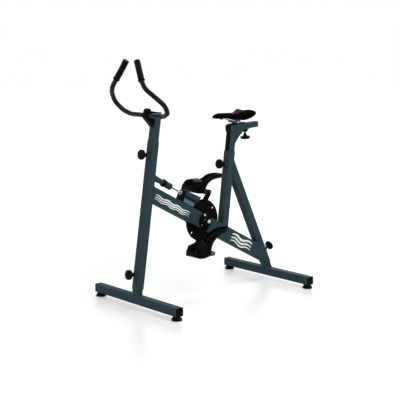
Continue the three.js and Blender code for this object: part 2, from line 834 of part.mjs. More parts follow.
function rails(radius) {
  const place = ([x, y, z], side) => {
    return new THREE.Vector3(x * railReach, side * y * railSpread, railRise + z * railBend);
  };
  const left = railLineShares.map((share) => place(share, 1));
  const right = railLineShares.slice(0, -1).reverse().map((share) => place(share, -1));
  return tubeAlong(new THREE.CatmullRomCurve3([...left, ...right]), radius, railSteps, smallRoundSteps / 2);
}

// Half of the saddle's width at a share of its length, from the round nose to the wide rear
function saddleHalfWidth(share) {
  const spread = THREE.MathUtils.smoothstep(share, ...flareShares);
  const width = saddleNoseWidth + (saddleWidth - saddleNoseWidth) * spread;
  const nose = Math.sqrt(1 - (1 - Math.min(share / noseRoundShare, 1)) ** 2);
  const past = Math.max(share - 1 + tailRoundShare, 0) / tailRoundShare;
  const tail = Math.sqrt(1 - past ** 2 * tailDrawShare);
  return width * nose * tail / 2;
}

// The height of the saddle's rim and of its crown along its length
function saddleRim(share) {
  return saddleRimRise + saddleRimLift * THREE.MathUtils.smoothstep(share, ...rimLiftShares);
}

function saddleCrown(share) {
  const dip = Math.sin(Math.PI * THREE.MathUtils.clamp(share, 0, 1)) * saddleDip;
  const nose = (1 - Math.min(share / (2 * noseRoundShare), 1)) ** 2 * noseDrop;
  return saddleTop - dip - nose + saddleKick * THREE.MathUtils.smoothstep(share, ...kickShares);
}

// How far the sides of the saddle hang down below its rim
function wingFall(share, bow) {
  const along = THREE.MathUtils.inverseLerp(...wingShares, share);
  return saddleWingDrop * bow * bow * Math.sin(Math.PI * THREE.MathUtils.clamp(along, 0, 1));
}

// A point on the saddle's top or underside. share runs from nose to tail and across from -1 to 1.
function saddlePoint(share, across, top) {
  const bow = Math.sin(across * Math.PI / 2);
  const fall = Math.max(1 - bow * bow, 0);
  const rim = saddleRim(share);
  const ends = Math.min(1, Math.sqrt(Math.min(share, 1 - share) / endRoundShare));
  const lobe = saddleLobe * bow * bow * THREE.MathUtils.smoothstep(share, ...kickShares);
  const crown = (saddleCrown(share) + lobe - rim) * fall ** crownPower * ends;
  const hollow = saddleHollow * fall * ends;
  const sweep = THREE.MathUtils.smoothstep(share, ...notchShares);
  const wing = saddleNotch * Math.abs(across) ** notchPower * sweep;
  const x = noseReach - share * saddleLength - wing;
  return [x, saddleHalfWidth(share) * bow, rim + (top ? crown : hollow) - wingFall(share, bow)];
}

// Closes two sheets of the same grid round their shared rim
function closedSheets(upper, lower, rows, columns) {
  const points = [];
  const index = [];
  const at = (sheet, row, column) => (sheet * (rows + 1) + row) * (columns + 1) + column;
  for (const surface of [upper, lower]) {
    for (let row = 0; row <= rows; row += 1) {
      for (let column = 0; column <= columns; column += 1) points.push(...surface(row, column));
    }
  }
  for (let row = 0; row < rows; row += 1) {
    for (let column = 0; column < columns; column += 1) {
      const [a, b, c, d] = [[row, column], [row, column + 1], [row + 1, column + 1], [row + 1, column]];
      const [e, f, g, h] = [a, b, c, d].map((place) => at(0, ...place));
      index.push(e, f, g, e, g, h);
      const [i, j, k, l] = [a, b, c, d].map((place) => at(1, ...place));
      index.push(i, k, j, i, l, k);
    }
  }
  const geometry = new THREE.BufferGeometry();
  geometry.setAttribute('position', new THREE.Float32BufferAttribute(points, 3));
  geometry.setIndex(index);
  return geometryOf(solidOf(geometry));
}

// The cushion and its shell share one grid. A slimness under 1 draws the sides in.
function saddleSheet(slimness, high, thickness) {
  const spot = (row, column, top) => {
    const [x, y, z] = saddlePoint(row / saddleRows, 2 * column / saddleColumns - 1, top);
    return [x, y * slimness, z];
  };
  const inside = (row, column) => row % saddleRows && column % saddleColumns;
  const lower = (row, column) => {
    const [x, y, z] = spot(row, column, false);
    return [x, y, z - (inside(row, column) ? thickness : 0)];
  };
  return closedSheets((row, column) => spot(row, column, high), lower, saddleRows, saddleColumns);
}

function saddle() {
  return saddleSheet(1, true, 0);
}

// The height of the middle of the shell's wall over a point
function shellLevel(x, y) {
  const share = (noseReach - x) / saddleLength;
  const bow = y / (saddleHalfWidth(share) * shellSlimShare);
  const hollow = saddleHollow * (1 - bow * bow);
  return saddleRim(share) + hollow - wingFall(share, bow) - shellGap - shellThickness / 2;
}

// The moulded base under the cushion, with sockets for the rails
function saddleShell() {
  const sheet = saddleSheet(shellSlimShare, false, shellThickness).translate(0, 0, -shellGap);
  const [tail, nose] = [railLineShares[0], railLineShares.at(-1)];
  const spots = [1, -1].map((side) => {
    return [tail[0] * railReach, side * tail[1] * railSpread, railRise + railBend];
  });
  const blocks = [...spots, [railReach, 0, railRise + nose[2] * railBend]].map(([x, y, z]) => {
    return box([x - socketSize, x + socketSize], [y - socketSize, y + socketSize],
      [z - socketSize, shellLevel(x, y)]);
  });
  const ends = spots.map((spot) => {
    const ball = new THREE.SphereGeometry(railRadius + 2 * fitGap, smallRoundSteps, smallRoundSteps / 2);
    return ball.translate(...spot);
  });
  const cushion = saddle().translate(0, 0, -weldGap);
  return cut(join(sheet, ...blocks), cushion, rails(railRadius + fitGap), ...ends);
}

// The outline of a bar with a large round end at the origin and a small one further along X
function linkOutline(length, large, small) {
  const lean = Math.acos((large - small) / length);
  const shape = new THREE.Shape();
  shape.absarc(0, 0, large, lean, 2 * Math.PI - lean);
  shape.absarc(length, 0, small, -lean, lean);
  return shape;
}

function crank(side) {
  const outer = crankInner + crankThickness;
  const span = (low, high) => (side > 0 ? [low, high] : [-high, -low]);
  const outline = linkOutline(crankLength, crankHubRadius, crankEndRadius);
  const arm = sideways(outline, ...span(crankInner, outer), 6 * cornerSteps);
  const [large, small] = [crankHubRadius / 2, crankEndRadius / 2];
  const start = crankHubRadius + crankPocketRim + large;
  const end = crankLength - crankEndRadius - crankPocketRim - small;
  const pocket = linkOutline(end - start, large, small);
  const recess = sideways(pocket, ...span(outer - crankPocketDepth, outer + cutOverrun), 2 * cornerSteps);
  recess.translate(start, 0, 0);
  const hubBore = alongY(rod(around(axleRadius, roundSteps), -cutOverrun * 2, cutOverrun * 2, roundSteps));
  const endBore = alongY(rod(around(pedalAxleRadius, smallRoundSteps), -cutOverrun * 2, cutOverrun * 2));
  return cut(arm, recess, hubBore, endBore.translate(crankLength, 0, 0));
}

function crankAxle() {
  const end = crankInner + crankThickness + axleEnd;
  const chamfer = axleEnd / 2;
  return alongY(turned([
    [0, -end], [axleRadius - chamfer, -end], [axleRadius, chamfer - end],
    [axleRadius, end - chamfer], [axleRadius - chamfer, end], [0, end],
  ]));
}

function brakeDisc() {
  const bore = around(axleRadius, roundSteps);
  const face = discThickness / 2;
  const edge = discRadius - face / 2;
  const wheel = turned([
    [bore, -discHubHalf], [discHubRadius, -discHubHalf], [discHubRadius, -face], [edge, -face],
    [discRadius, -face / 2], [discRadius, face / 2], [edge, face], [discHubRadius, face],
    [discHubRadius, discHubHalf], [bore, discHubHalf], [bore, -discHubHalf],
  ], discSteps);
  const holes = [];
  for (let i = 0; i < discHoles; i += 1) {
    const hole = alongY(rod(discHoleRadius, -discThickness, discThickness));
    const angle = discHoleAngle * degree + 2 * Math.PI * i / discHoles;
    holes.push(hole.translate(discHoleCircle, 0, 0).rotateY(-angle));
  }
  return cut(alongY(wheel), ...holes);
}

// The pedal's axle: a shoulder between crank and pedal, and a hexagon nut outside the pedal
function pedalAxle(side) {
  const crankFace = crankInner + crankThickness + fitGap;
  const pedalInner = pedalCentre - soleWidth / 2 - pedalBossExtra;
  const pedalOuter = pedalCentre + soleWidth / 2 + pedalBossExtra + fitGap;
  const shaft = turned([
    [0, crankInner - pedalAxleStart], [pedalAxleRadius, crankInner - pedalAxleStart],
    [pedalAxleRadius, crankFace], [pedalShoulderRadius, crankFace],
    [pedalShoulderRadius, pedalInner - fitGap], [pedalAxleRadius, pedalInner - fitGap],
    [pedalAxleRadius, pedalOuter + pedalNutLength], [0, pedalOuter + pedalNutLength],
  ], smallRoundSteps);
  const nut = rod(pedalNutRadius, pedalOuter, pedalOuter + pedalNutLength * 0.8, 6);
  return side > 0 ? alongY(join(shaft, nut)) : alongMinusY(join(shaft, nut));
}

// Pedals are made round their axle, with the toe towards +X.
function soleTopLine(shape) {
  shape.moveTo(-soleRear, soleTop);
  shape.quadraticCurveTo(soleWaist / 2, -soleDish, soleFront - soleLip, toeTop);
}

function soleProfile() {
  const shape = new THREE.Shape();
  soleTopLine(shape);
  shape.lineTo(soleFront - soleLip / 2, toeTop + soleLip / 2);
  shape.lineTo(soleFront, -toeDepth);
  shape.quadraticCurveTo(soleFront - soleLip, -soleDepth, soleBulge, -soleDepth);
  shape.quadraticCurveTo(soleWaist, -soleDepth, pedalBossRadius, -heelDepth);
  shape.lineTo(-soleRear + soleLip, -heelDepth);
  shape.lineTo(-soleRear, soleLip - heelDepth);
  return shape;
}

// Everything below the sole's top, and a little more, which trims what stands on the sole
function belowSole() {
  const shape = new THREE.Shape();
  soleTopLine(shape);
  shape.lineTo(2 * soleFront, toeTop);
  shape.lineTo(2 * soleFront, -soleFront);
  shape.lineTo(-2 * soleRear, -soleFront);
  shape.lineTo(-2 * soleRear, soleTop);
  return sideways(shape, -soleWidth, soleWidth, 6 * cornerSteps).translate(0, 0, weldGap);
}

function solePlan() {
  const [toe, heel] = [soleWidth / 2, soleHeelWidth / 2];
  const shape = new THREE.Shape();
  shape.moveTo(soleFront, 0);
  shape.quadraticCurveTo(soleFront, toe, strapBack + strapLength, toe);
  shape.lineTo(0, toe);
  shape.lineTo(-soleRear + 2 * soleLip, heel);
  shape.quadraticCurveTo(-soleRear, heel, -soleRear, 0);
  shape.quadraticCurveTo(-soleRear, -heel, -soleRear + 2 * soleLip, -heel);
  shape.lineTo(0, -toe);
  shape.lineTo(strapBack + strapLength, -toe);
  shape.quadraticCurveTo(soleFront, -toe, soleFront, 0);
  return prism(shape, 2 * soleFront, 4 * cornerSteps).translate(0, 0, -soleFront);
}

// Lengthwise grooves that follow the sole's top
function treadGrooves() {
  const pitch = soleHeelWidth / treadGrooveCount;
  const grooves = [];
  for (let i = 0; i < treadGrooveCount; i += 1) {
    const y = (i + 0.5) * pitch - soleHeelWidth / 2;
    const span = [y - treadGap / 2, y + treadGap / 2];
    const slab = box([strapBack, soleFront - 2 * soleLip], span, [-soleDepth, soleDepth]);
    grooves.push(cut(slab, belowSole().translate(0, 0, -treadDepth - weldGap)));
  }
  return grooves;
}

// Pockets under the sole, with ribs between them
function solePockets() {
  const ceiling = -soleDish / 2 - soleWall;
  const inner = pedalBossRadius + soleWall;
  const spans = [[-soleRear + 2 * soleLip, -inner], [inner, soleFront / 2 - soleWall / 2],
    [soleFront / 2 + soleWall / 2, soleFront - 3 * soleLip]];
  const pockets = [];
  for (const [low, high] of spans) {
    const wide = (low < 0 ? soleHeelWidth : soleWidth) / 2 - 2 * soleWall;
    pockets.push(box([low, high], [soleWall / 2, wide], [-soleFront, ceiling]));
    pockets.push(box([low, high], [-wide, -soleWall / 2], [-soleFront, ceiling]));
  }
  return pockets;
}

function pedal() {
  const slab = sideways(soleProfile(), -soleWidth / 2, soleWidth / 2, 6 * cornerSteps);
  const span = soleWidth / 2 + pedalBossExtra;
  const bossTube = alongY(rod(pedalBossRadius, -span, span, roundSteps));
  const bore = alongY(rod(around(pedalAxleRadius, smallRoundSteps), -2 * span, 2 * span));
  return cut(join(common(slab, solePlan()), bossTube), bore, ...treadGrooves(), ...solePockets());
}

function archOutline(halfWidth, height, low) {
  const shape = new THREE.Shape();
  shape.moveTo(-halfWidth, low);
  shape.lineTo(-halfWidth, height * archShoulderShare);
  shape.absellipse(0, height * archShoulderShare, halfWidth, height * (1 - archShoulderShare),
    Math.PI, 0, true);
  shape.lineTo(halfWidth, low);
  return shape;
}

// The ribbed arch over the toes. It droops towards the toe and stands on the sole.
function toeStrap() {
  const halfWidth = soleWidth / 2;
  const steps = 6 * cornerSteps;
  const turn = (geometry) => geometry.rotateX(Math.PI / 2).rotateZ(Math.PI / 2);
  const outer = prism(archOutline(halfWidth, strapHeight, -soleDepth), strapLength, steps);
  const inner = prism(archOutline(halfWidth - strapWall, strapHeight - strapWall, -2 * soleDepth),
    3 * strapLength, steps).translate(0, 0, -strapLength);
  const ribs = [];
  for (let i = 0; i < strapRibs; i += 1) {
    const angle = Math.PI * (i + 1) / (strapRibs + 1);
    const rib = rod(strapRibRadius, strapRibRadius, strapLength - strapRibRadius, smallRoundSteps / 2);
    const shoulder = strapHeight * archShoulderShare;
    ribs.push(rib.translate(halfWidth * Math.cos(angle),
      shoulder + (strapHeight - shoulder) * Math.sin(angle), 0));
  }
  const arch = turn(cut(join(outer, ...ribs), inner));
  arch.applyMatrix4(new THREE.Matrix4().makeShear(0, -strapDroop / strapLength, 0, 0, 0, 0));
  return cut(arch.translate(strapBack, 0, 0), belowSole());
}

// The spoon behind the heel: a channel that sweeps up and back, with lips that fade towards its tip
const heelSpineShares = [[-0.21, -0.1], [-0.2, 0.19], [-0.36, 0.54], [-0.62, 0.74],
  [-0.92, 0.9], [-1, 1.06]];
const heelLipShares = [[-0.03, -0.1], [-0.025, 0.25], [-0.06, 0.5], [-0.18, 0.62], [-0.39, 0.86],
  [-0.7, 1.02], [-1, 1.08]];

function heelGuard() {
  const place = ([x, z]) => new THREE.Vector2(x * heelReach, z * heelRise);
  const spine = new THREE.SplineCurve(heelSpineShares.map(place)).getPoints(heelSteps);
  const lip = new THREE.SplineCurve(heelLipShares.map(place)).getPoints(heelSteps);
  const cheek = new THREE.Shape([...spine, ...lip.slice().reverse()]);
  const normal = (i) => {
    const ahead = spine[Math.min(i + 1, heelSteps)];
    const behind = spine[Math.max(i - 1, 0)];
    const along = ahead.clone().sub(behind).normalize();
    return new THREE.Vector2(along.y, -along.x);
  };
  const inside = spine.map((point, i) => point.clone().addScaledVector(normal(i), heelWall));
  const floor = new THREE.Shape([...spine, ...inside.reverse()]);
  const outerHalf = heelWidth / 2;
  const cheeks = [[outerHalf - heelWall, outerHalf], [-outerHalf, heelWall - outerHalf]];
  const sides = cheeks.map((span) => sideways(cheek, ...span));
  const channel = join(sideways(floor, -outerHalf, outerHalf), ...sides);
  const plan = new THREE.Shape();
  plan.moveTo(soleFront, -outerHalf);
  plan.lineTo(soleFront, outerHalf);
  plan.lineTo(outerHalf - heelReach, outerHalf);
  plan.absarc(outerHalf - heelReach, 0, outerHalf, Math.PI / 2, 1.5 * Math.PI);
  const rounded = common(channel, prism(plan, 4 * heelRise, 6 * cornerSteps).translate(0, 0, -heelRise));
  const bossSpace = alongY(rod(around(pedalBossRadius, roundSteps), -soleWidth, soleWidth, roundSteps));
  return cut(rounded, belowSole(), bossSpace);
}

// The brake is made in the beam's axes, on the beam's top. Its screw fills the space between
// the carrier and the front post.
const deck = beamHeight / 2 - beamDrop + weldGap;
const postFace = meetPost(brakeAxisHeight);
const brakeKnobRear = shoeFront + (postFace - shoeFront - brakeKnobLength) * brakeKnobPlaceShare;
const socketTip = brakeKnobRear + brakeKnobLength + runGap;
const socketFloor = socketTip + (postFace - socketTip) * socketDepthShare;

function brakeBracket() {
  const outline = polygon([
    [bracketRear + bracketSlant, deck], [bracketFront, deck],
    [bracketFront, bracketTop - bracketTopDrop], [bracketRear, bracketTop],
  ]);
  const innerHalf = half - bracketWall;
  const hollow = box([-bracketFront, 2 * bracketFront], [-innerHalf, innerHalf],
    [deck + bracketWall, bracketTop - bracketTopDrop - bracketWall]);
  const grooves = [[half - grooveDepth, cutOverrun], [-cutOverrun, grooveDepth - half]].map((span) => {
    return box([0, 2 * bracketFront], span, [grooveBottom, grooveBottom + grooveHeight]);
  });
  return cut(sideways(outline, -half, half), hollow, ...grooves);
}

// The carrier slides in the bracket, and its block in front takes the threaded rod.
function brakeCarrier() {
  const blockRear = bracketFront + shoeTravel + 2 * runGap;
  const blockTop = bracketTop - bracketTopDrop;
  const outline = roundedOutline(shoeFront - blockRear, blockTop - deck - runGap, tubeCorner);
  const block = sideways(outline, -half + runGap, half - runGap);
  block.translate((shoeFront + blockRear) / 2, 0, (blockTop + deck + runGap) / 2);
  const tongueHalf = half - bracketWall - runGap;
  const tongueLow = deck + bracketWall + runGap;
  const tongueTop = blockTop - bracketWall - runGap;
  const tongue = box([padFront, blockRear + tubeCorner], [-tongueHalf, tongueHalf], [tongueLow, tongueTop]);
  const bore = alongX(rod(around(rodRadius, smallRoundSteps), rodTip - 2 * runGap, shoeFront + cutOverrun));
  return cut(join(block, tongue), bore.translate(0, 0, brakeAxisHeight));
}

// The pad's face is square to the line from the crank to the middle of the pad.
function brakePad() {
  const angle = Math.asin(brakeAxisHeight / discRadius);
  const toDisc = box([-reach, discRadius + padGap], [-reach, reach], [-reach, reach]).rotateY(-angle);
  const top = bracketTop - bracketTopDrop - bracketWall - runGap;
  const pad = box([0, padFront - weldGap], [-padWidth / 2, padWidth / 2], [top - padHeight, top]);
  return cut(pad, toDisc);
}

function brakeRod() {
  return alongX(rod(rodRadius, rodTip, socketFloor - 2 * runGap)).translate(0, 0, brakeAxisHeight);
}

function ribbedOutline(radius, depth, ribs) {
  const points = [];
  for (let i = 0; i < 4 * ribs; i += 1) {
    const angle = 2 * Math.PI * i / (4 * ribs);
    const r = radius - (i % 4 < 2 ? 0 : depth);
    points.push(new THREE.Vector2(r * Math.cos(angle), r * Math.sin(angle)));
  }
  return new THREE.Shape(points);
}

function brakeKnob() {
  const bevel = brakeKnobRibDepth;
  const outline = ribbedOutline(brakeKnobRadius - bevel, brakeKnobRibDepth, brakeKnobRibs);
  const body = new THREE.ExtrudeGeometry(outline, {
    depth: brakeKnobLength - 2 * bevel,
    bevelThickness: bevel,
    bevelSize: bevel,
    bevelSegments: 1,
  }).translate(0, 0, brakeKnobRear + bevel);
  const bore = rod(around(rodRadius, smallRoundSteps), 0, 2 * bracketFront + cutOverrun);
  return alongX(cut(body, bore)).translate(0, 0, brakeAxisHeight);
}

// The tapered socket on the front post that carries the rod's end
function brakeSocket() {
  const cone = turned([
    [0, socketTip], [socketTipRadius, socketTip], [socketRootRadius, postFace],
    [socketRootRadius, postFace + cutOverrun], [0, postFace + cutOverrun],
  ]);
  const bore = rod(around(rodRadius, smallRoundSteps), socketTip - cutOverrun, socketFloor);
  const whole = alongX(cut(cone, bore)).translate(0, 0, brakeAxisHeight);
  return cut(whole, pastX(frontMast, -half - weldGap, 1, beamAxes));
}

// Assembly
add(frontMast, 'front_post', frontPost(), paint);
add(seatMast, 'seat_tube', seatTube(), paint);
add(rearStrut, 'rear_strut', rearStrutTube(), paint);
add(beamAxes, 'main_beam', beam(), paint);
add(beamAxes, 'brake_bracket', brakeBracket(), paint);
add(beamAxes, 'brake_socket', brakeSocket(), paint);
for (const [side, word] of [[1, 'left'], [-1, 'right']]) {
  add(beamAxes, `${word}_bearing_flange`, flange(side), blackPaint);
  add(beamAxes, `${word}_bushing`, bushing(side), nylon);
}
addBase('front', frontBase, frontMast);
addBase('rear', rearBase, rearStrut);

add(frontMast, 'handlebar_post', handlebarPost(), paint);
add(frontMast, 'handlebar_bracket', handlebarBracket(), blackPaint);
add(frontMast, 'handlebar_clamp', handlebarClamp(), blackPaint);
const barAxes = axes(frontMast, barForward, barZ, frontLeanAngle);
add(barAxes, 'handlebar', handlebar(), blackPaint);
add(barAxes, 'left_grip', grip(1), rubber);
add(barAxes, 'right_grip', grip(-1), rubber);

add(seatMast, 'seat_post', seatPost(), paint);
add(sliderAxes, 'slider_housing', sliderHousing(), paint);
add(sliderAxes, 'slider_housing_cap', housingCap(), plastic);
add(sliderAxes, 'seat_slider', seatSlider(), paint);
add(sliderAxes, 'saddle_carriage', saddleCarriage(), blackPaint);
const saddleAxes = axes(sliderAxes, -pivotBack, pivotUp, -sliderAngle);
add(saddleAxes, 'saddle_pivot_bolt', pivotBolt(), bright);
add(saddleAxes, 'saddle_cradle', saddleCradle(), blackPaint);
add(saddleAxes, 'saddle_jaw', saddleJaw(), blackPaint);
add(saddleAxes, 'saddle_rails', rails(railRadius), bright);
add(saddleAxes, 'saddle_shell', saddleShell(), plastic);
add(saddleAxes, 'saddle', saddle(), vinyl);

add(crankAxes, 'crank_axle', crankAxle(), bright);
add(crankAxes, 'brake_disc', brakeDisc(), blackPaint);
for (const [side, word] of [[1, 'left'], [-1, 'right']]) {
  const turn = -crankAngle + (side > 0 ? 0 : 180);
  const crankEnd = axes(crankAxes, 0, 0, turn);
  add(crankEnd, `${word}_crank`, crank(side), blackPaint);
  const angle = side > 0 ? pedalAngleLeft : pedalAngleRight;
  const pedalAxes = axes(crankEnd, crankLength, 0, -turn - angle);
  add(pedalAxes, `${word}_pedal_axle`, pedalAxle(side), bright);
  for (const [name, make] of [['pedal', pedal], ['toe_strap', toeStrap], ['heel_guard', heelGuard]]) {
    add(pedalAxes, `${word}_${name}`, make().translate(0, side * pedalCentre, 0), plastic);
  }
}

const frontKnobs = [['lower', stubShow + knobInset], ['upper', frontPostTop - knobInset]];
for (const [word, z] of frontKnobs) {
  add(frontMast, `front_${word}_knob`, knob(half).translate(0, 0, z), plastic);
}
add(seatMast, 'seat_post_knob', knob(half).translate(0, 0, seatTubeTop - knobInset), plastic);
const rearKnob = knob(half).rotateZ(Math.PI).translate(0, 0, stubShow + knobInset);
add(rearStrut, 'rear_knob', rearKnob, plastic);
const sliderKnob = knob(housingHeight / 2).rotateY(Math.PI / 2);
add(sliderAxes, 'slider_knob', sliderKnob.translate(sliderKnobInset - housingLength, 0, 0), plastic);

add(beamAxes, 'brake_knob', brakeKnob(), plastic);
add(beamAxes, 'brake_rod', brakeRod(), bright);
add(beamAxes, 'brake_carrier', brakeCarrier(), plastic);
add(beamAxes, 'brake_pad', brakePad(), rubber);

// The origin lies under the middle of the whole bike.
bike.updateMatrixWorld(true);
const bounds = new THREE.Box3().setFromObject(bike, true);
bike.position.x = -(bounds.min.x + bounds.max.x) / 2;

export default bike;
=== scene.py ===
# %% [markdown]
# A pedalling bike for a swimming pool stands on two base bars. Its solids come in as a fixed
# frame, in metres, with X to the front, Y to the rider's left and Z up. The cells below give
# each piece its finish, and replace the plain solids whose real form is rounder or finer.

# %% Load the solids
import json
import math
import bmesh
import bpy
import numpy as np
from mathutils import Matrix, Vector


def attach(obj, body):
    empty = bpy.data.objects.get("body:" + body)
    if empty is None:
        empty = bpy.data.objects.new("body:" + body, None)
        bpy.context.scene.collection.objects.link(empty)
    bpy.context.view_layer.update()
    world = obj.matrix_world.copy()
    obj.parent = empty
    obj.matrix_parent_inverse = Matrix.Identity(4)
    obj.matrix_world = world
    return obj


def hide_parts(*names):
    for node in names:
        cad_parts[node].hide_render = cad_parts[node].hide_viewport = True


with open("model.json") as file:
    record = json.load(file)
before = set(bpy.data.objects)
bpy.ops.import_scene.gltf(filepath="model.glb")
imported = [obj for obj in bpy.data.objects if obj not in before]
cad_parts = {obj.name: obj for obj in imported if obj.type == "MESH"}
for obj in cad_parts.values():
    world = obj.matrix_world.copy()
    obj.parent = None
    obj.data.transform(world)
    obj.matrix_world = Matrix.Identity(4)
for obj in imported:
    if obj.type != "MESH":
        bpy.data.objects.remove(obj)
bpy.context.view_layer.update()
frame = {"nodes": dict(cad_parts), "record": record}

record = frame["record"]
body_of = {node: body for body, nodes in record["behaviour"]["bodies"].items() for node in nodes}
slot_of = {entry["node"]: entry["material_slot"] for entry in record["subparts"]}
mm = 0.001

# %% [markdown]
# Every part of the bike was laid out along the axis of the tube that carries it. The same
# leaning axes are kept here, so that a knob or a weld can be worked out in its tube's own
# directions and then carried to its place in one matrix product.

# %% Leaning axes
def leaning(x, z, degrees):
    """An origin and a matrix whose columns are local X, Y and Z after a turn about Y:
    X = (cos, 0, -sin), Y = (0, 1, 0), Z = (sin, 0, cos)."""
    a = math.radians(degrees)
    turn = np.array([[math.cos(a), 0, math.sin(a)], [0, 1, 0], [-math.sin(a), 0, math.cos(a)]])
    return np.array([x, 0, z]) * mm, turn


def carried(points, axes, centre=(0, 0, 0)):
    """Points given round a centre in local axes, as they stand in the bike."""
    origin, turn = axes
    return (points + np.array(centre)) @ turn.T + origin


def spot_at(axes, centre):
    """One place given in local millimetres, as it stands in the bike."""
    return carried(np.zeros((1, 3)), axes, np.array(centre) * mm)[0]


def outward(axes, local_axis):
    """Local axes whose Z is one of the given axes' own directions, for turned pieces."""
    origin, turn = axes
    z = turn @ np.array(local_axis, float)
    x = np.array([1.0, 0, 0]) if abs(z[1]) > 0.9 else np.array([0, 1.0, 0])
    y = np.cross(z, x)
    return origin, np.stack([np.cross(y, z), y, z], 1)


front_x, rear_x, bar_top = 461.36, -493.64, 67.5
crank_x, crank_z, beam_angle = 12.66, 404, 27.9
tube_half, housing_half = 22.5, 18.5
pedal_y = 132 * mm
front_mast = leaning(front_x, bar_top, -8.35)
seat_mast = leaning(-136.24, 317.24, -6.9)
strut = leaning(rear_x, bar_top, 25.7)
beam = leaning(crank_x, crank_z, -beam_angle)
crank = leaning(crank_x, crank_z, 0)
slider = leaning(-177.13, 886.49, 4)
saddle_axes = leaning(-224.74, 922.4, 0)
bar_axes = leaning(386.59, 988.0, 0)
left_foot = leaning(110.17, 264.74, -5)
right_foot = leaning(-84.85, 543.26, -18)
sides = ((1, "left"), (-1, "right"))
foot_sides = ((1, "left", left_foot), (-1, "right", right_foot))
print("axes ready; the beam climbs", round(math.degrees(math.asin(beam[1][2, 0])), 1), "degrees")

# %% [markdown]
# All new pieces are grids of points. A grid has rows and columns, and its columns close
# round on themselves, as on a turned knob or a bent tube. Where a row shrinks to one point
# the doubles are merged, which closes the pole.

# %% Grids become meshes
def weave(rows, columns, ring):
    """Corner numbers of each four-sided face of a grid, and the corners' places from 0 to 1.
    Face (r, c) joins (r, c), (r + 1, c), (r + 1, c + 1) and (r, c + 1). Columns close round,
    and in a ring the rows do too."""
    r, c = np.meshgrid(np.arange(rows if ring else rows - 1), np.arange(columns), indexing="ij")
    r, c = r.ravel(), c.ravel()
    steps = ((0, 0), (1, 0), (1, 1), (0, 1))
    faces = np.stack([(r + i) % rows * columns + (c + j) % columns for i, j in steps], 1)
    places = np.stack([np.stack([(c + j) / columns, (r + i) / rows], 1) for i, j in steps], 1)
    return faces, places


def tidy(mesh, sharp):
    """Merges doubles, closes poles, turns faces outward and smooths all but sharp edges."""
    work = bmesh.new()
    work.from_mesh(mesh)
    bmesh.ops.remove_doubles(work, verts=work.verts, dist=2e-6)
    bmesh.ops.recalc_face_normals(work, faces=work.faces)
    work.to_mesh(mesh)
    work.free()
    mesh.polygons.foreach_set("use_smooth", np.ones(len(mesh.polygons), bool))
    mesh.set_sharp_from_angle(angle=math.radians(sharp))


print("a grid of 3 by 4 has", len(weave(3, 4, False)[0]), "faces")

# %% [markdown]
# A finished piece hangs on one of the bodies, takes the finish of its slot or another, and
# hides the plain solids that it replaces. Its object stays at the origin, with its place in its
# mesh, so two helpers serve every piece of the bike.

# %% From grids to a finished piece
def piece(name, grids, body, slot, stands_for=(), look=None, sharp=35, rings=False):
    """One object from several grids, riding on a body with its slot's finish or another.
    With rings, each grid's last row joins its first."""
    points, faces, places, start = [], [], [], 0
    for grid in grids:
        face, place = weave(grid.shape[0], grid.shape[1], rings)
        points.append(grid.reshape(-1, 3))
        faces.append(face + start)
        places.append(place)
        start += grid.shape[0] * grid.shape[1]
    mesh = bpy.data.meshes.new(name)
    mesh.from_pydata(np.concatenate(points), [], np.concatenate(faces))
    layer = mesh.uv_layers.new(name="Surface")
    layer.data.foreach_set("uv", np.concatenate(places).astype(np.float32).ravel())
    tidy(mesh, sharp)
    return dressed(bpy.data.objects.new(name, mesh), body, slot, stands_for, look)


def dressed(made, body, slot, stands_for, look=None):
    """Links a new piece, gives it its finish and fixes it to its body."""
    bpy.context.collection.objects.link(made)
    made.data.materials.clear()
    made.data.materials.append(finishes[look or slot])
    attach(made, body)
    if stands_for:
        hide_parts(*stands_for)
    return made


print("grid tools ready")

# %% [markdown]
# Three ways of filling a grid cover most of this bike. A turned piece carries a line of radii
# and heights round an axis, as on a lathe. A swept piece carries a closed section along a
# path, as a bent tube does, and a block is a stack of rounded rectangles. Turning is needed
# first. Its lines have their corners eased into short curves, because no turned or moulded
# edge is truly sharp.

# %% Eased corners and turned pieces
def eased(line, radius, steps=5):
    """Rounds a line's inner corners: each corner P becomes the curve
    (1 - t)^2 A + 2 t (1 - t) P + t^2 B, with A and B on its two sides."""
    line = np.array(line, float)
    p, before, after = line[1:-1], line[:-2], line[2:]
    back, on = before - p, after - p
    length_back = np.linalg.norm(back, axis=1, keepdims=True)
    length_on = np.linalg.norm(on, axis=1, keepdims=True)
    reach = np.minimum(radius, 0.49 * np.minimum(length_back, length_on))
    a, b = p + back / length_back * reach, p + on / length_on * reach
    t = np.linspace(0, 1, steps)[None, :, None]
    curve = (1 - t) ** 2 * a[:, None] + 2 * t * (1 - t) * p[:, None] + t ** 2 * b[:, None]
    return np.concatenate([line[:1], curve.reshape(-1, line.shape[1]), line[-1:]])


def turned(line, steps=48):
    """Carries (radius, height) round Z: (r cos a, r sin a, h), millimetres to metres."""
    a = np.linspace(0, 2 * math.pi, steps, endpoint=False)
    r, h = line[:, :1], line[:, 1:]
    return np.stack([r * np.cos(a), r * np.sin(a), h + 0 * a], -1) * mm


print("a lathe of 48 sides on", len(eased([[0, 0], [5, 0], [5, 5], [0, 5]], 1)), "points")

# %% [markdown]
# A look is a tree of shader nodes. Placing a node, setting its values and linking its sockets
# takes several lines in Blender's own terms, so one helper does all three in a single call.
# Another opens a node group with its named inputs and its output.

# %% Helpers for shader nodes
def new_group(name, inputs, output):
    """A shader node group with named number, colour or vector inputs and one output."""
    group = bpy.data.node_groups.new(name, "ShaderNodeTree")
    for title, kind, value in inputs:
        socket = group.interface.new_socket(title, in_out="INPUT", socket_type=kind)
        if value is not None:
            socket.default_value = value
    group.interface.new_socket(output[0], in_out="OUTPUT", socket_type=output[1])
    start = group.nodes.new("NodeGroupInput")
    end = group.nodes.new("NodeGroupOutput")
    return group, start, end


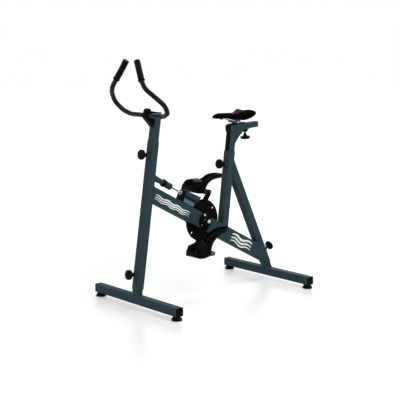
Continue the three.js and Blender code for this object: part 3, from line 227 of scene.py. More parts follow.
def put(tree, kind, settings=(), **values):
    """A node with its settings and unlinked inputs; a linked input is given as a socket."""
    node = tree.nodes.new(kind)
    for title, value in dict(settings).items():
        setattr(node, title, value)
    for title, value in values.items():
        socket = node.inputs[int(title[1:])] if title[0] == "i" and title[1:].isdigit() else \
            node.inputs[title.replace("_", " ")]
        if isinstance(value, bpy.types.NodeSocket):
            tree.links.new(value, socket)
        else:
            socket.default_value = value
    return node


number, colour, vector = "NodeSocketFloat", "NodeSocketColor", "NodeSocketVector"
print("node helpers ready")

# %% [markdown]
# Most surfaces share three effects: a slow drift in tone, a fine relief, and faint rubbed
# marks. Each is a node group, built once, and each material gives it its own values. The
# relief goes to a Bump node, because real grain shows by how it tilts the light.

# %% Shared effects
tone_drift, start, end = new_group("Tone drift", [
    ("Vector", vector, None), ("Colour", colour, (1, 1, 1, 1)), ("Scale", number, 6.0),
    ("Amount", number, 0.1)], ("Colour", colour))
cloud = put(tone_drift, "ShaderNodeTexNoise", Vector=start.outputs["Vector"],
            Scale=start.outputs["Scale"], Detail=4.0, Roughness=0.6)
double = put(tone_drift, "ShaderNodeMath", {"operation": "MULTIPLY_ADD"}, i0=cloud.outputs["Fac"],
             i1=2.0, i2=-1.0)
swing = put(tone_drift, "ShaderNodeMath", {"operation": "MULTIPLY_ADD"}, i0=double.outputs[0],
            i1=start.outputs["Amount"], i2=1.0)
shaded = put(tone_drift, "ShaderNodeHueSaturation", Value=swing.outputs[0],
             Color=start.outputs["Colour"])
tone_drift.links.new(shaded.outputs["Color"], end.inputs["Colour"])

fine_grain, start, end = new_group("Fine grain", [
    ("Vector", vector, None), ("Scale", number, 900.0), ("Cells", number, 0.5)],
    ("Height", number))
noise = put(fine_grain, "ShaderNodeTexNoise", Vector=start.outputs["Vector"],
            Scale=start.outputs["Scale"], Detail=2.0, Roughness=0.5)
cells = put(fine_grain, "ShaderNodeTexVoronoi", {"feature": "SMOOTH_F1"},
            Vector=start.outputs["Vector"], Scale=start.outputs["Scale"], Smoothness=0.4)
height = put(fine_grain, "ShaderNodeMix", i0=start.outputs["Cells"], i2=noise.outputs["Fac"],
             i3=cells.outputs["Distance"])
fine_grain.links.new(height.outputs[0], end.inputs["Height"])

rubbed, start, end = new_group("Rubbed marks", [
    ("Vector", vector, None), ("Scale", number, 40.0), ("Plain", number, 0.4),
    ("Marked", number, 0.55)], ("Roughness", number))
stretched = put(rubbed, "ShaderNodeMapping", Vector=start.outputs["Vector"], Scale=(1, 6, 0.35))
streaks = put(rubbed, "ShaderNodeTexNoise", Vector=stretched.outputs["Vector"],
              Scale=start.outputs["Scale"], Detail=6.0, Roughness=0.7)
level = put(rubbed, "ShaderNodeMapRange", Value=streaks.outputs["Fac"], From_Min=0.42,
            From_Max=0.68, To_Min=start.outputs["Plain"], To_Max=start.outputs["Marked"])
rubbed.links.new(level.outputs["Result"], end.inputs["Roughness"])
print("effects:", ", ".join(g.name for g in bpy.data.node_groups))

# %% [markdown]
# A finish is one Principled shader fed by those effects. They read Object coordinates, so
# the grain stays where it is on a piece that moves, and no piece has to be unwrapped for it.

# %% How a finish is made
def linear(red, green, blue):
    """Screen values from 0 to 255 as linear light: ((c + 0.055) / 1.055)^2.4, or c / 12.92
    near black."""
    c = np.array([red, green, blue]) / 255
    light = np.where(c <= 0.04045, c / 12.92, ((c + 0.055) / 1.055) ** 2.4)
    return (*light.tolist(), 1.0)


def finish(name, tint, plain, marked, drift=0.08, drift_scale=7.0, grain=900.0, cells=0.5,
           relief=0.1, depth=0.0003, metallic=0.0, specular=0.5):
    """A material: tone drift to colour, rubbed marks to roughness, fine grain to a bump."""
    material = bpy.data.materials.new(name)
    material.use_nodes = True
    tree = material.node_tree
    shader = tree.nodes["Principled BSDF"]
    place = tree.nodes.new("ShaderNodeTexCoord").outputs["Object"]
    drifted = put(tree, "ShaderNodeGroup", {"node_tree": tone_drift}, Vector=place, Colour=tint,
                  Scale=drift_scale, Amount=drift)
    marks = put(tree, "ShaderNodeGroup", {"node_tree": rubbed}, Vector=place, Plain=plain,
                Marked=marked)
    relief_map = put(tree, "ShaderNodeGroup", {"node_tree": fine_grain}, Vector=place,
                     Scale=grain, Cells=cells)
    bump = put(tree, "ShaderNodeBump", Strength=relief, Distance=depth,
               Height=relief_map.outputs[0])
    tree.links.new(drifted.outputs[0], shader.inputs["Base Color"])
    tree.links.new(marks.outputs[0], shader.inputs["Roughness"])
    tree.links.new(bump.outputs[0], shader.inputs["Normal"])
    shader.inputs["Metallic"].default_value = metallic
    shader.inputs["Specular IOR Level"].default_value = specular
    return material


print("a dark grey in linear light:", round(linear(49, 68, 74)[0], 4))

# %% [markdown]
# The teal grey powder coat has a soft orange-peel relief. The black pieces are moulded
# plastic, rubber or a black coat, and they differ mostly in how sharp their highlights are
# and how coarse their grain is. A few more finishes serve single pieces.

# %% The finishes
paint = {"relief": 0.12, "grain": 700, "cells": 0.0, "specular": 0.05, "drift": 0.05}
finishes = {
    "frame_paint": finish("Teal grey powder coat", linear(49, 68, 74), 0.5, 0.6, **paint),
    "black_paint": finish("Black powder coat", linear(4, 5, 6), 0.42, 0.55, relief=0.15,
                          grain=800, cells=0.1, specular=0.03),
    "bar_coat": finish("Gloss black tube coat", linear(3, 4, 5), 0.12, 0.2, relief=0.03,
                       grain=500, cells=0.0, specular=0.14),
    "black_plastic": finish("Black moulded plastic", linear(4, 4, 5), 0.38, 0.5,
                            relief=0.25, grain=1300, cells=0.7, specular=0.04),
    "black_rubber": finish("Black rubber", linear(4, 5, 6), 0.4, 0.55, relief=0.3,
                           grain=1600, cells=0.4, specular=0.06),
    "bright_steel": finish("Bright steel", linear(205, 208, 212), 0.16, 0.3, drift=0.04,
                           relief=0.05, grain=2500, cells=0.0, metallic=1.0),
    "dull_steel": finish("Dull steel", linear(96, 101, 102), 0.35, 0.5, metallic=0.35,
                         relief=0.08, grain=2000, cells=0.0),
    "brake_knob": finish("Rubbed black plastic", linear(22, 23, 24), 0.4, 0.55, relief=0.2,
                         grain=1300, cells=0.6, specular=0.4),
    "satin_metal": finish("Satin metal", linear(84, 78, 82), 0.35, 0.45, metallic=0.5,
                          relief=0.08, grain=1500, cells=0.2),
    # The frame paint made lighter, as painted light on the bracket's lower walls.
    "painted_lit_coat": finish("Teal grey coat painted lit", linear(88, 116, 120), 0.5, 0.6, **paint),
    # Near-black frame paint, as painted shade in the bracket's grooves.
    "shadow_paint": finish("Teal black painted groove shade", linear(17, 26, 30), 0.5, 0.6, **paint),
    # Light grey for the grips' tips: a painted highlight on their ends.
    "plug": finish("Grey grip tip painted highlight", linear(120, 130, 130), 0.45, 0.6, relief=0.1),
    "white_nylon": finish("White nylon", linear(232, 230, 222), 0.4, 0.5, relief=0.1),
    "saddle_cover": finish("Black saddle vinyl", linear(3, 4, 5), 0.5, 0.6, relief=0.4,
                           grain=850, cells=0.9, depth=0.0004, specular=0.012),
}
print("finishes:", ", ".join(finishes))

# %% [markdown]
# The welded frame is square tube. Its solids are already right in shape, so each is copied,
# its loose triangles are merged, and every edge gets a small radius, as drawn tube and folded
# plate have. A weighted normal keeps the wide faces flat in the light while the corners turn.

# %% Tubes and machined pieces with softened edges
def softened(node, radius, look=None):
    """A merged copy of a solid whose edges are rounded by a bevel of that radius."""
    mesh = frame["nodes"][node].data.copy()
    work = bmesh.new()
    work.from_mesh(mesh)
    bmesh.ops.remove_doubles(work, verts=work.verts, dist=2e-6)
    bmesh.ops.dissolve_limit(work, angle_limit=math.radians(0.6), verts=work.verts,
                             edges=work.edges)
    work.to_mesh(mesh)
    work.free()
    mesh.polygons.foreach_set("use_smooth", np.ones(len(mesh.polygons), bool))
    made = dressed(bpy.data.objects.new(node + "_finished", mesh), body_of[node],
                   slot_of[node], [node], look)
    bevel = made.modifiers.new("Edge radius", "BEVEL")
    bevel.limit_method = "ANGLE"
    bevel.angle_limit = math.radians(32)
    bevel.width = radius * mm
    bevel.segments = 2
    flat = made.modifiers.new("Flat faces", "WEIGHTED_NORMAL")
    flat.keep_sharp = True
    return made


tubes = ["front_post", "seat_tube", "rear_strut", "main_beam", "handlebar_post", "seat_post",
         "slider_housing", "seat_slider", "front_base_bar", "rear_base_bar", "front_base_stub",
         "rear_base_stub", "brake_bracket", "brake_socket"]
blocks = ["handlebar_bracket", "handlebar_clamp", "saddle_carriage", "left_crank",
          "right_crank", "brake_disc", "slider_housing_cap", "front_base_cap_left",
          "front_base_cap_right", "rear_base_cap_left", "rear_base_cap_right", "left_pedal",
          "right_pedal", "saddle_shell", "brake_pad"]
clamp_parts = ["saddle_cradle", "saddle_jaw"]
tube_edge, block_edge = 0.8, 0.7
for node in tubes:
    softened(node, tube_edge)
for node in blocks:
    softened(node, block_edge)
for node in clamp_parts:
    softened(node, block_edge, "satin_metal")
print(len(tubes), "tubes and", len(blocks + clamp_parts), "blocks softened")

# %% [markdown]
# The clamp knobs are moulded heads on short necks. Their heads are domed in front, and the
# rim rolls over in one curve, so they catch a round highlight. One line of radii and heights
# along the stud's axis is turned for all five. The knob under the slider also gets a collar
# round its boss.

# %% Clamp knobs
knob_radius, knob_height, dome_drop = 26, 55.5, 4


def knob_line(face):
    """Radii and heights from a tube's face: a thin stud, a short hub and a thick head whose
    front is a shallow dome, h = knob_height - dome_drop (r / knob_radius)^3."""
    r = np.linspace(25.2, 0, 18)
    dome = np.stack([r, knob_height - dome_drop * (r / knob_radius) ** 3], 1)
    stem = [[0, -2], [6, -2], [6, 12.2], [5.2, 13], [5, 23], [8.6, 25], [9.4, 33], [12, 36.6],
            [20, 38], [25, 38.8], [knob_radius, 41], [knob_radius, 50.6]]
    line = np.concatenate([eased(stem, 2.0), dome])
    return line + np.array([0, face])


knobs = {
    "front_lower_knob": (front_mast, (1, 0, 0), (0, 0, 105), tube_half),
    "front_upper_knob": (front_mast, (1, 0, 0), (0, 0, 721), tube_half),
    "seat_post_knob": (seat_mast, (1, 0, 0), (0, 0, 376), tube_half),
    "rear_knob": (strut, (-1, 0, 0), (0, 0, 105), tube_half),
    "slider_knob": (slider, (0, 0, -1), (-128, 0, 0), housing_half),
}
for node, (home, direction, centre, face) in knobs.items():
    axes = spot_at(home, centre), outward(home, direction)[1]
    head = carried(turned(knob_line(face), 56), axes)
    piece(node + "_turned", [head], body_of[node], slot_of[node], [node], "black_plastic")
ring = turned(eased([[14.1, 18.6], [16.5, 18.6], [16.5, 29.8], [15, 31.3], [14.1, 31.3],
                     [14.1, 18.6]], 0.8), 48)
piece("slider_boss_collar", [carried(ring, axes)], "seat_mast", "black_plastic", rings=True)
print(len(knobs), "knobs, each", len(knob_line(0)), "rings")

# %% [markdown]
# Each foot is a rubber pad on a stud under the base bar. It flares to the floor and has two
# shallow rings in its side, which a turned line shows at once.

# %% Feet
foot_line = eased([[0, 0], [24, 0], [26, 0.8], [27.9, 2.4], [27.9, 5.4], [26.9, 6.2],
                   [27.2, 7.4], [26.6, 8.2], [23, 12.6], [21, 15], [20.8, 18], [21, 22.1],
                   [4, 22.1], [4, 38], [0, 38]], 0.8)
foot_y = 314.5
for end, x in (("front", front_x), ("rear", rear_x)):
    for side, word in sides:
        node = f"{end}_foot_{word}"
        centre = np.array([x, side * foot_y, 0]) * mm
        piece(node + "_turned", [turned(foot_line, 56) + centre], body_of[node], slot_of[node],
              [node], "black_rubber")
print("feet", round(2 * foot_line[:, 0].max(), 1), "mm across")

# %% [markdown]
# The crank's bearings sit in black flanges on both sides of the beam, each held by three
# bright hexagon bolts. A white plastic bushing shows round the axle. The bolts are six-sided
# turned pieces with a washer under each head.

# %% Bearing flanges, bolts and bushings
def hexagon(radius, low, high, washer=0.0):
    """A bolt head: six sides between two heights, its top edge cut at a slope, and under it
    a washer where the washer's radius is given."""
    line = np.array([[0, low], [radius, low], [radius, high - 0.8], [radius - 1, high],
                     [0, high]])
    head = turned(line, 6)
    if not washer:
        return [head]
    rim = turned(eased([[0, low - 1], [washer, low - 1], [washer, low + 0.2],
                        [0, low + 0.2]], 0.3), 28)
    return [head, rim]


flange_face, bolt_top, bolt_circle = 30.8, 34.6, 33
flange_line = eased([[15.4, 22.8], [42, 22.8], [42, 28.8], [40, flange_face],
                     [27.5, flange_face], [25, 33], [24, 36.2], [22.6, 36.8], [15.4, 36.8],
                     [15.4, 22.8]], 1.0)
bushing_line = eased([[10.6, 18], [15, 18], [15, 36.9], [10.6, 36.9], [10.6, 18]], 0.5)
for side, word in sides:
    axes = outward(crank, (0, side, 0))
    piece(f"{word}_bearing_flange_turned", [carried(turned(flange_line, 72), axes)], "frame",
          "black_paint", [f"{word}_bearing_flange"])
    piece(f"{word}_bushing_turned", [carried(turned(bushing_line, 48), axes)], "frame",
          "white_nylon", [f"{word}_bushing"])
    bolts = []
    for turn in (52, 172, 292):
        a = math.radians(turn + beam_angle)
        spot = np.array([bolt_circle * math.cos(a), 0, bolt_circle * math.sin(a)]) * mm
        bolts += [carried(grid, (axes[0] + spot, axes[1]))
                  for grid in hexagon(5, 31.6, bolt_top, 6.2)]
    piece(f"{word}_flange_bolts", bolts, "frame", "bright_steel", sharp=25)
print("flange bolts stand", round(bolt_top - flange_face, 1), "mm proud")

# %% [markdown]
# Turned steel is bright on the crank's axle and the saddle's pivot bolt, and duller on the
# brake's rod and the two pedal axles with their shoulders and nuts. Each shaft is one line of
# radii turned on its axis, with a chamfer or a socket at its end.

# %% Axles, rod and bolt
axle = [[0, -58.5], [10, -58.5], [10, 58.5], [4, 58.5], [3, 57], [0, 57]]
piece("crank_axle_turned", [carried(turned(eased(axle, 0.5), 40),
                                    outward(crank, (0, 1, 0)))],
      "crankset", "bright_steel", ["crank_axle"])
axle_tip = 197.3
for side, word, foot in foot_sides:
    axes = outward((foot[0], np.eye(3)), (0, side, 0))
    shaft = eased([[0, 40], [6, 40], [7, 41], [7, 56.3], [10, 56.3], [10, 74.7], [7, 74.7],
                   [7, 196], [6, axle_tip], [4.5, axle_tip], [4, 194], [0, 194]], 0.4)
    grids = [turned(shaft, 36)] + hexagon(9, 190.4, 195.7)
    grids.append(turned(eased([[0, 189.3], [9.8, 189.3], [9.8, 190.5], [0, 190.5]], 0.4), 36))
    piece(f"{word}_pedal_axle_turned", [carried(grid, axes) for grid in grids], "crankset",
          "bright_steel", [f"{word}_pedal_axle"], "dull_steel")
rod = eased([[0, 206], [3.2, 206], [4, 207], [4, 373.5], [3.2, 374.5], [0, 374.5]], 0.4)
rod_frame = (spot_at(beam, (0, 0, 75.7)), outward(beam, (1, 0, 0))[1])
piece("brake_rod_turned", [carried(turned(rod, 28), rod_frame)], "brake_screw",
      "bright_steel", ["brake_rod"], "dull_steel")
pivot_axes = outward(saddle_axes, (0, 1, 0))
shank = turned(eased([[0, -36], [3.5, -36], [3.5, 36], [0, 36]], 0.5), 24)
heads = hexagon(6.5, 30.4, 34.3) + hexagon(6.5, -34.3, -30.4)
piece("saddle_pivot_bolt_turned", [carried(grid, pivot_axes) for grid in [shank, *heads]],
      "saddle_top", "bright_steel", ["saddle_pivot_bolt"], sharp=25)
print("pedal axles reach y =", axle_tip, "mm")

# %% [markdown]
# A bent tube is a circle carried along a curved path. The path could be a curve object with
# a bevel. Worked out as points, it can also be cut at a given length, and its radius can
# change on the way, as the grips need.

# %% Sweeps along a path
def swept(path, section, across):
    """Carries a closed section along a path. T is the path's direction, N = across x T,
    B = T x N, and a point is P + u N + v B."""
    t = np.gradient(path, axis=0)
    t /= np.linalg.norm(t, axis=1, keepdims=True)
    n = np.cross(np.array(across, float), t)
    n /= np.linalg.norm(n, axis=1, keepdims=True)
    b = np.cross(t, n)
    return path[:, None] + section[..., :1] * n[:, None] + section[..., 1:] * b[:, None]


def circle(radius, sides=20):
    """(r cos a, r sin a) for each radius given, one row each."""
    a = np.linspace(0, 2 * math.pi, sides, endpoint=False)
    r = np.atleast_1d(radius)[:, None]
    return np.stack([r * np.cos(a), r * np.sin(a)], -1)


def closed_ends(grid):
    """Adds a row shrunk to its middle at each end of a grid."""
    first, last = grid[:1].mean(1, keepdims=True), grid[-1:].mean(1, keepdims=True)
    width = np.ones((1, grid.shape[1], 1))
    return np.concatenate([first * width, grid, last * width])


print("a sweep carries a circle of", circle(1.0).shape[1], "points")

# %% [markdown]
# A path is drawn through a few points, and a smooth curve joins them. Its own points crowd
# together in some places, so a second helper lays new ones at equal steps of length. That
# keeps the faces even in the bends, and it can also take out one stretch of the path.

# %% Curved paths
def bent_line(points, per_span=12, even=False):
    """A curve through points, each span (1, t, t^2, t^3) weighed by the two points and their
    slopes. even spaces the points alike, otherwise by the root of their distance."""
    p = np.array(points, float)
    first = p[0] if even else 2 * p[0] - p[1]
    last = p[-1] if even else 2 * p[-1] - p[-2]
    p = np.concatenate([[first], p, [last]])
    a, b, c, d = p[:-3], p[1:-2], p[2:-1], p[3:]
    gap = lambda u, v: np.linalg.norm(v - u, axis=1, keepdims=True) ** 0.5
    if even:
        m1, m2 = (c - a) / 2, (d - b) / 2
    else:
        g0, g1, g2 = gap(a, b), gap(b, c), gap(c, d)
        m1 = ((b - a) / g0 - (c - a) / (g0 + g1) + (c - b) / g1) * g1
        m2 = ((c - b) / g1 - (d - b) / (g1 + g2) + (d - c) / g2) * g1
    t = np.linspace(0, 1, per_span, endpoint=False)[None, :, None]
    b, c, m1, m2 = b[:, None], c[:, None], m1[:, None], m2[:, None]
    line = b + m1 * t + (3 * (c - b) - 2 * m1 - m2) * t ** 2 + (2 * (b - c) + m1 + m2) * t ** 3
    return np.concatenate([line.reshape(-1, p.shape[1]), p[-2:-1]])


def evenly(line, count, low=0.0, high=1.0):
    """count points at equal steps of length between two shares of a line's length."""
    run = np.concatenate([[0], np.cumsum(np.linalg.norm(np.diff(line, axis=0), axis=1))])
    at = np.linspace(low, high, count) * run[-1]
    return np.stack([np.interp(at, run, line[:, i]) for i in range(line.shape[1])], 1)


print("a path through 3 points has", len(bent_line([[0, 0], [1, 0], [1, 1]])), "points")

# %% [markdown]
# The handlebar is one tube bent in a deep loop: level across the clamp, then forward and up,
# and back in towards the rider's hands. The path is a curve through points, mirrored about
# the middle, and a circle is carried along it.

# %% Handlebar
bar_shares = np.array([
    [0, 0, 0], [0, 0.36, 0], [0, 0.695, 0.007], [0.07, 0.83, 0.044], [0.12, 0.915, 0.075],
    [0.425, 1, 0.224], [0.79, 0.858, 0.392], [0.98, 0.696, 0.512], [1, 0.576, 0.615],
    [0.91, 0.4, 0.8], [0.82, 0.23, 1]])
bar_size, bar_radius, bar_across = np.array([115, 194, 272]), 12.5, (1, 0, -0.5)
bar_points = bar_shares * bar_size
mirrored = bar_points[:0:-1] * np.array([1, -1, 1])
bar_line = bent_line(np.concatenate([mirrored, bar_points]), 20) * mm
bar_path = evenly(bar_line, 200)
tube = closed_ends(swept(bar_path, circle(bar_radius * mm, 28), bar_across))
piece("handlebar_bent", [carried(tube, bar_axes)], body_of["handlebar"], "bar_coat",
      ["handlebar"])
bar_length = np.linalg.norm(np.diff(bar_line, axis=0), axis=1).sum()
print("handlebar tube", round(bar_length, 3), "m long")

# %% [markdown]
# A soft grip covers each end. It has a collar where it starts, a slightly waisted body with
# shallow finger ribs, and a rounded cap past the tube's tip. All of that is one radius that
# changes along the path, so a single sweep makes it. A small plug closes its tip, light grey
# as a painted highlight on the grip's end.

# %% Grips
def grip_radius(s):
    """Radius in mm at a share s of the grip: a body 16.3 - 0.5 sin(pi s) with ribs
    0.3 cos(32 pi s), a collar near 0, a rolled start, and an end that draws in to 0.35 of
    it as a quarter of an ellipse."""
    ribs = 0.3 * np.cos(2 * math.pi * 16 * s) * (np.abs(s - 0.5) < 0.36)
    collar = 1.7 / (1 + np.exp((s - 0.05) * 160))
    waist = -0.5 * np.sin(math.pi * np.clip(s, 0, 1))
    end = np.sqrt(np.clip(1 - (np.clip(s - 0.945, 0, 1) / 0.055) ** 2, 0, 1))
    start = np.sqrt(np.clip(1 - ((0.012 - np.clip(s, 0, 0.012)) / 0.014) ** 2, 0, 1))
    return (16.3 + ribs + collar + waist) * (0.35 + 0.65 * end) * start


grip_length, grip_overhang = 112, 6.3
for side, word in sides:
    half_line = bar_line[len(bar_line) // 2:] * np.array([1, side, 1])
    length = np.linalg.norm(np.diff(half_line, axis=0), axis=1).sum()
    direction = half_line[-1] - half_line[-2]
    direction /= np.linalg.norm(direction)
    line = np.concatenate([half_line, half_line[-1:] + direction * grip_overhang * mm])
    s = np.concatenate([np.linspace(0, 0.93, 120), np.linspace(0.935, 1, 22)])
    share = (grip_length + grip_overhang) * mm / (length + grip_overhang * mm)
    stations = evenly(line, 1200, 1 - share, 1.0)
    at = np.linspace(0, 1, len(stations))
    path = np.stack([np.interp(s, at, stations[:, i]) for i in range(3)], 1)
    sleeve = closed_ends(swept(path, circle(grip_radius(s) * mm, 32), bar_across))
    node = f"{word}_grip"
    piece(node + "_moulded", [carried(sleeve, bar_axes)], body_of[node], "black_rubber",
          [node], sharp=50)
    tip = line[-1]
    plug_axes = (carried(np.zeros((1, 3)), bar_axes, tip)[0],
                 outward((np.zeros(3), np.eye(3)), direction)[1])
    # The plug's light grey is a painted highlight on the grip's end.
    plug = turned(eased([[0, -3], [10.5, -3], [10.5, 0], [8, 1.2], [0, 1.4]], 0.8), 40)
    piece(f"{word}_grip_tip_painted_highlight", [carried(plug, plug_axes)], body_of[node], "black_rubber",
          look="plug")
print("grips", round(2 * grip_radius(np.array([0.5]))[0], 1), "mm thick in the middle")

# %% [markdown]
# The saddle is a firm foam pad under stretched vinyl on a moulded base. Its outline runs from
# a narrow nose to wide wings, with a notch between them behind. Each cross-section is a
# closed loop: a full top, a rolled lower edge and a hollow underside. Two sewn seams run
# along it, and a shallow channel relieves the middle of the rear.

# %% Saddle
def smoothstep(x, low, high):
    """0 below low, 1 above high, and 3 t^2 - 2 t^3 between."""
    t = np.clip((x - low) / (high - low), 0, 1)
    return t * t * (3 - 2 * t)


nose_width, wing_width, nose_x, saddle_run = 46, 156, 157, 235
rim_low, rim_rise = 27, 26


def saddle_grid(rows=110, columns=96):
    """Rows run from nose to tail, s from 0 to 1, and columns round the section, a from 0 to
    2 pi. y = W sin(a). On top z = rim - hang + H |cos a|^0.7, with H from the rim to the
    crown, less the channel and the seams. Below, z = rim - hang + 9 cos(a)^2, a hollow.
    hang grows with sin(a)^2 towards the wings."""
    s = (0.5 - 0.5 * np.cos(np.linspace(0, math.pi, rows)))[:, None]
    a = np.linspace(0, 2 * math.pi, columns, endpoint=False)[None, :] + math.pi / columns
    width = nose_width + (wing_width - nose_width) * smoothstep(s, 0.32, 0.92)
    nose = np.sqrt(1 - (1 - np.minimum(s / 0.12, 1)) ** 2)
    tail = np.sqrt(1 - (np.maximum(s - 0.9, 0) / 0.1) ** 2 * 0.5)
    half = width * nose * tail / 2
    rim = rim_low + rim_rise * smoothstep(s, 0.5, 1)
    crown = 55 - 4 * np.sin(math.pi * s) + 9 * smoothstep(s, 0.6, 1)
    crown = crown - 15 * (1 - np.minimum(s / 0.24, 1)) ** 2
    ends = np.minimum(1, np.sqrt(np.minimum(s, 1 - s) / 0.06))
    across, up = np.sin(a), np.cos(a)
    crown = crown + 22 * across ** 2 * smoothstep(s, 0.6, 0.96)
    hang = 26 * across ** 2 * np.sin(math.pi * np.clip((s - 0.5) / 0.5, 0, 1))
    y = half * across
    channel = 4.5 * np.exp(-(y / 13) ** 2) * smoothstep(s, 0.42, 0.75)
    seam = 0.9 * np.exp(-((np.abs(across) - 0.72) / 0.022) ** 2) * smoothstep(s, 0.03, 0.1)
    top = (crown - rim) * np.abs(up) ** 0.7 * ends - (channel * ends + seam) * np.abs(up) ** 0.5
    under = 9 * up ** 2 * ends - 1.6 * np.abs(up) ** 0.4 * (np.abs(across) > 0.95)
    z = rim - hang + np.where(up > 0, top, under)
    sweep = 30 * np.abs(np.arcsin(across) * 2 / math.pi) ** 1.6 * smoothstep(s, 0.55, 1)
    x = nose_x - s * saddle_run - sweep
    return np.stack([x, y + 0 * x, z], -1) * mm


cushion = piece("saddle_cushion", [carried(closed_ends(saddle_grid()), saddle_axes)],
                "saddle_top", "saddle_cover", ["saddle"], sharp=75)
low, high = saddle_grid().reshape(-1, 3).min(0), saddle_grid().reshape(-1, 3).max(0)
print("saddle", np.round((high - low) * 1000), "mm")

# %% [markdown]
# One bright rod carries the saddle: it starts in the base's rear sockets, dips into the
# clamp and meets itself at the nose. It is swept like the handlebar, with Z as the reference
# direction because the rod never stands upright.

# %% Saddle rails
rail_shares = np.array([
    [-0.62, 1.5, 1], [-0.5, 1.35, 0.62], [-0.3, 1.08, 0.12], [-0.12, 1, 0], [0.16, 1, 0],
    [0.34, 1, 0.03], [0.62, 0.8, 0.42], [0.88, 0.52, 0.66], [0.97, 0.3, 0.7], [1, 0, 0.7]])
rail_size, rail_low, rail_radius = np.array([95, 22, 18]), 10.5, 3.5
rail_points = rail_shares * rail_size + np.array([0, 0, rail_low])
rail_points = np.concatenate([rail_points, rail_points[-2::-1] * np.array([1, -1, 1])])
rail_path = evenly(bent_line(rail_points) * mm, 130)
rail = closed_ends(swept(rail_path, circle(rail_radius * mm, 18), (0, 0, 1)))
piece("saddle_rails_bent", [carried(rail, saddle_axes)], "saddle_top", "bright_steel",
      ["saddle_rails"])
print("rail rod", len(rail_path), "rings")

# %% [markdown]
# Each foot pedal is a ribbed sole with an arch over the toes and a spoon behind the heel.
# The arch is a loop section, outer wall and inner wall, carried forward over the sole while
# it droops towards the toe. Ribs along it stiffen the moulding.

# %% Toe straps
def sole_top(x):
    """Height of the sole's top line, a curve from (-50, 2) by (17, -14) to (90, 6)."""
    t = (-134 + np.sqrt(134.0 ** 2 + 24 * (x + 50))) / 12
    return (1 - t) ** 2 * 2 - 2 * t * (1 - t) * 14 + t ** 2 * 6


strap_half, strap_rise, strap_spring, strap_wall = 52, 36, 24, 5
strap_start, strap_depth, strap_droop = 28, 54, 16
leg_share, leg_length, rib_height = 0.16, 30, 2.2


def arch(rows=26, columns=120):
    """u runs over the arch from 0 to 1: two straight legs of leg_share each and between them
    half an ellipse. The outer wall has ribs rib_height max(0, cos(10 pi (u - 0.5)))^3, and
    the inner wall comes back. Both thin out to a rounded edge in front and behind."""
    u = np.linspace(0, 1, columns)
    angle = math.pi * np.clip((u - leg_share) / (1 - 2 * leg_share), 0, 1)
    leg = np.clip(1 - np.minimum(u, 1 - u) / leg_share, 0, 1)
    rib = rib_height * np.clip(np.cos(math.pi * 10 * (u - 0.5)), 0, 1) ** 3 * (1 - leg)
    walls = []
    for wall, sign in ((0, 1), (strap_wall, 0)):
        w, h = strap_half - wall + rib * sign, strap_rise - wall + rib * sign
        y, z = w * np.cos(angle), strap_spring + h * np.sin(angle) - leg * leg_length
        walls.append(np.stack([y, z], -1))
    middle = (walls[0] + walls[1]) / 2
    loop = np.concatenate([walls[0], walls[1][::-1]])
    middle = np.concatenate([middle, middle[::-1]])
    edge_at, edge_shares = np.array([0, 0.5, 1.5, 3]), [0.35, 0.7, 0.92, 1]
    along = np.concatenate([edge_at[:3], np.linspace(3, strap_depth - 3, rows - 6),
                            strap_depth - edge_at[2::-1]])[:, None]
    thin = np.interp(np.minimum(along, strap_depth - along), edge_at, edge_shares)
    yz = middle + (loop - middle) * thin[..., None]
    x = strap_start + along + 0 * yz[..., 0]
    z = np.maximum(yz[..., 1] - along * strap_droop / strap_depth, sole_top(x) - 1.5)
    return np.stack([x, yz[..., 0], z], -1) * mm


for side, word, foot in foot_sides:
    piece(f"{word}_toe_strap_moulded", [carried(closed_ends(arch()), foot,
                                                (0, side * pedal_y, 0))],
          f"{word}_footplate", "black_plastic", [f"{word}_toe_strap"])
print("toe arch", arch().shape[0], "rows by", arch().shape[1], "columns")

# %% [markdown]
# The heel guard is a spoon. Its back runs along one curve in the side view and its lips
# along another, and the section between them is a U that flattens to a rounded tip. A
# thickness is given to the sheet afterwards, so that both faces stay smooth.

# %% Heel guards
spine_shares = np.array([[-0.2, -0.06], [-0.2, 0.19], [-0.36, 0.54], [-0.62, 0.74],
                         [-0.92, 0.9], [-1, 1.06]])
lip_shares = np.array([[-0.03, -0.06], [-0.025, 0.25], [-0.06, 0.5], [-0.18, 0.62],
                       [-0.39, 0.86], [-0.7, 1.02], [-1, 1.08]])
guard_size = np.array([152, 118])
guard_half, tip_run, guard_wall = 30, 30, 4.6


def spoon(rows=64, columns=40):
    """Rows go up the guard. Across, t runs from -1 to 1: y = guard_half sin(pi t / 2), and
    the depth from the back to the lips is |t|^2.4. Over the last tip_run the width follows a
    circle."""
    back = evenly(bent_line(spine_shares, 16, True) * guard_size, rows)
    lips = evenly(bent_line(lip_shares, 16, True) * guard_size, rows)
    t = np.linspace(-1, 1, columns)[None, :]
    reach = 1 - np.clip((back[-1, 0] + tip_run - back[:, 0]) / tip_run, -1, 1)
    round_tip = np.sqrt(np.clip(1 - (1 - np.clip(reach, 0, 1)) ** 2, 0, 1))
    tip = np.where(back[:, 0] < back[-1, 0] + tip_run, round_tip, 1)[:, None]
    depth = np.abs(t) ** 2.4
    x = back[:, :1] + (lips - back)[:, :1] * depth
    z = back[:, 1:] + (lips - back)[:, 1:] * depth
    y = guard_half * np.sin(math.pi * t / 2) * tip
    return np.stack([x, y + 0 * x, z], -1) * mm


print("spoon grid", spoon().shape[:2])

# %% [markdown]
# The guard is a moulding with a wall and soft lips, and the spoon is still an open sheet. A
# second grid could be laid beside the first and joined to it round the edge. The Solidify
# modifier does that in one step, with the wall even in the curves, and Bevel rounds the lips.

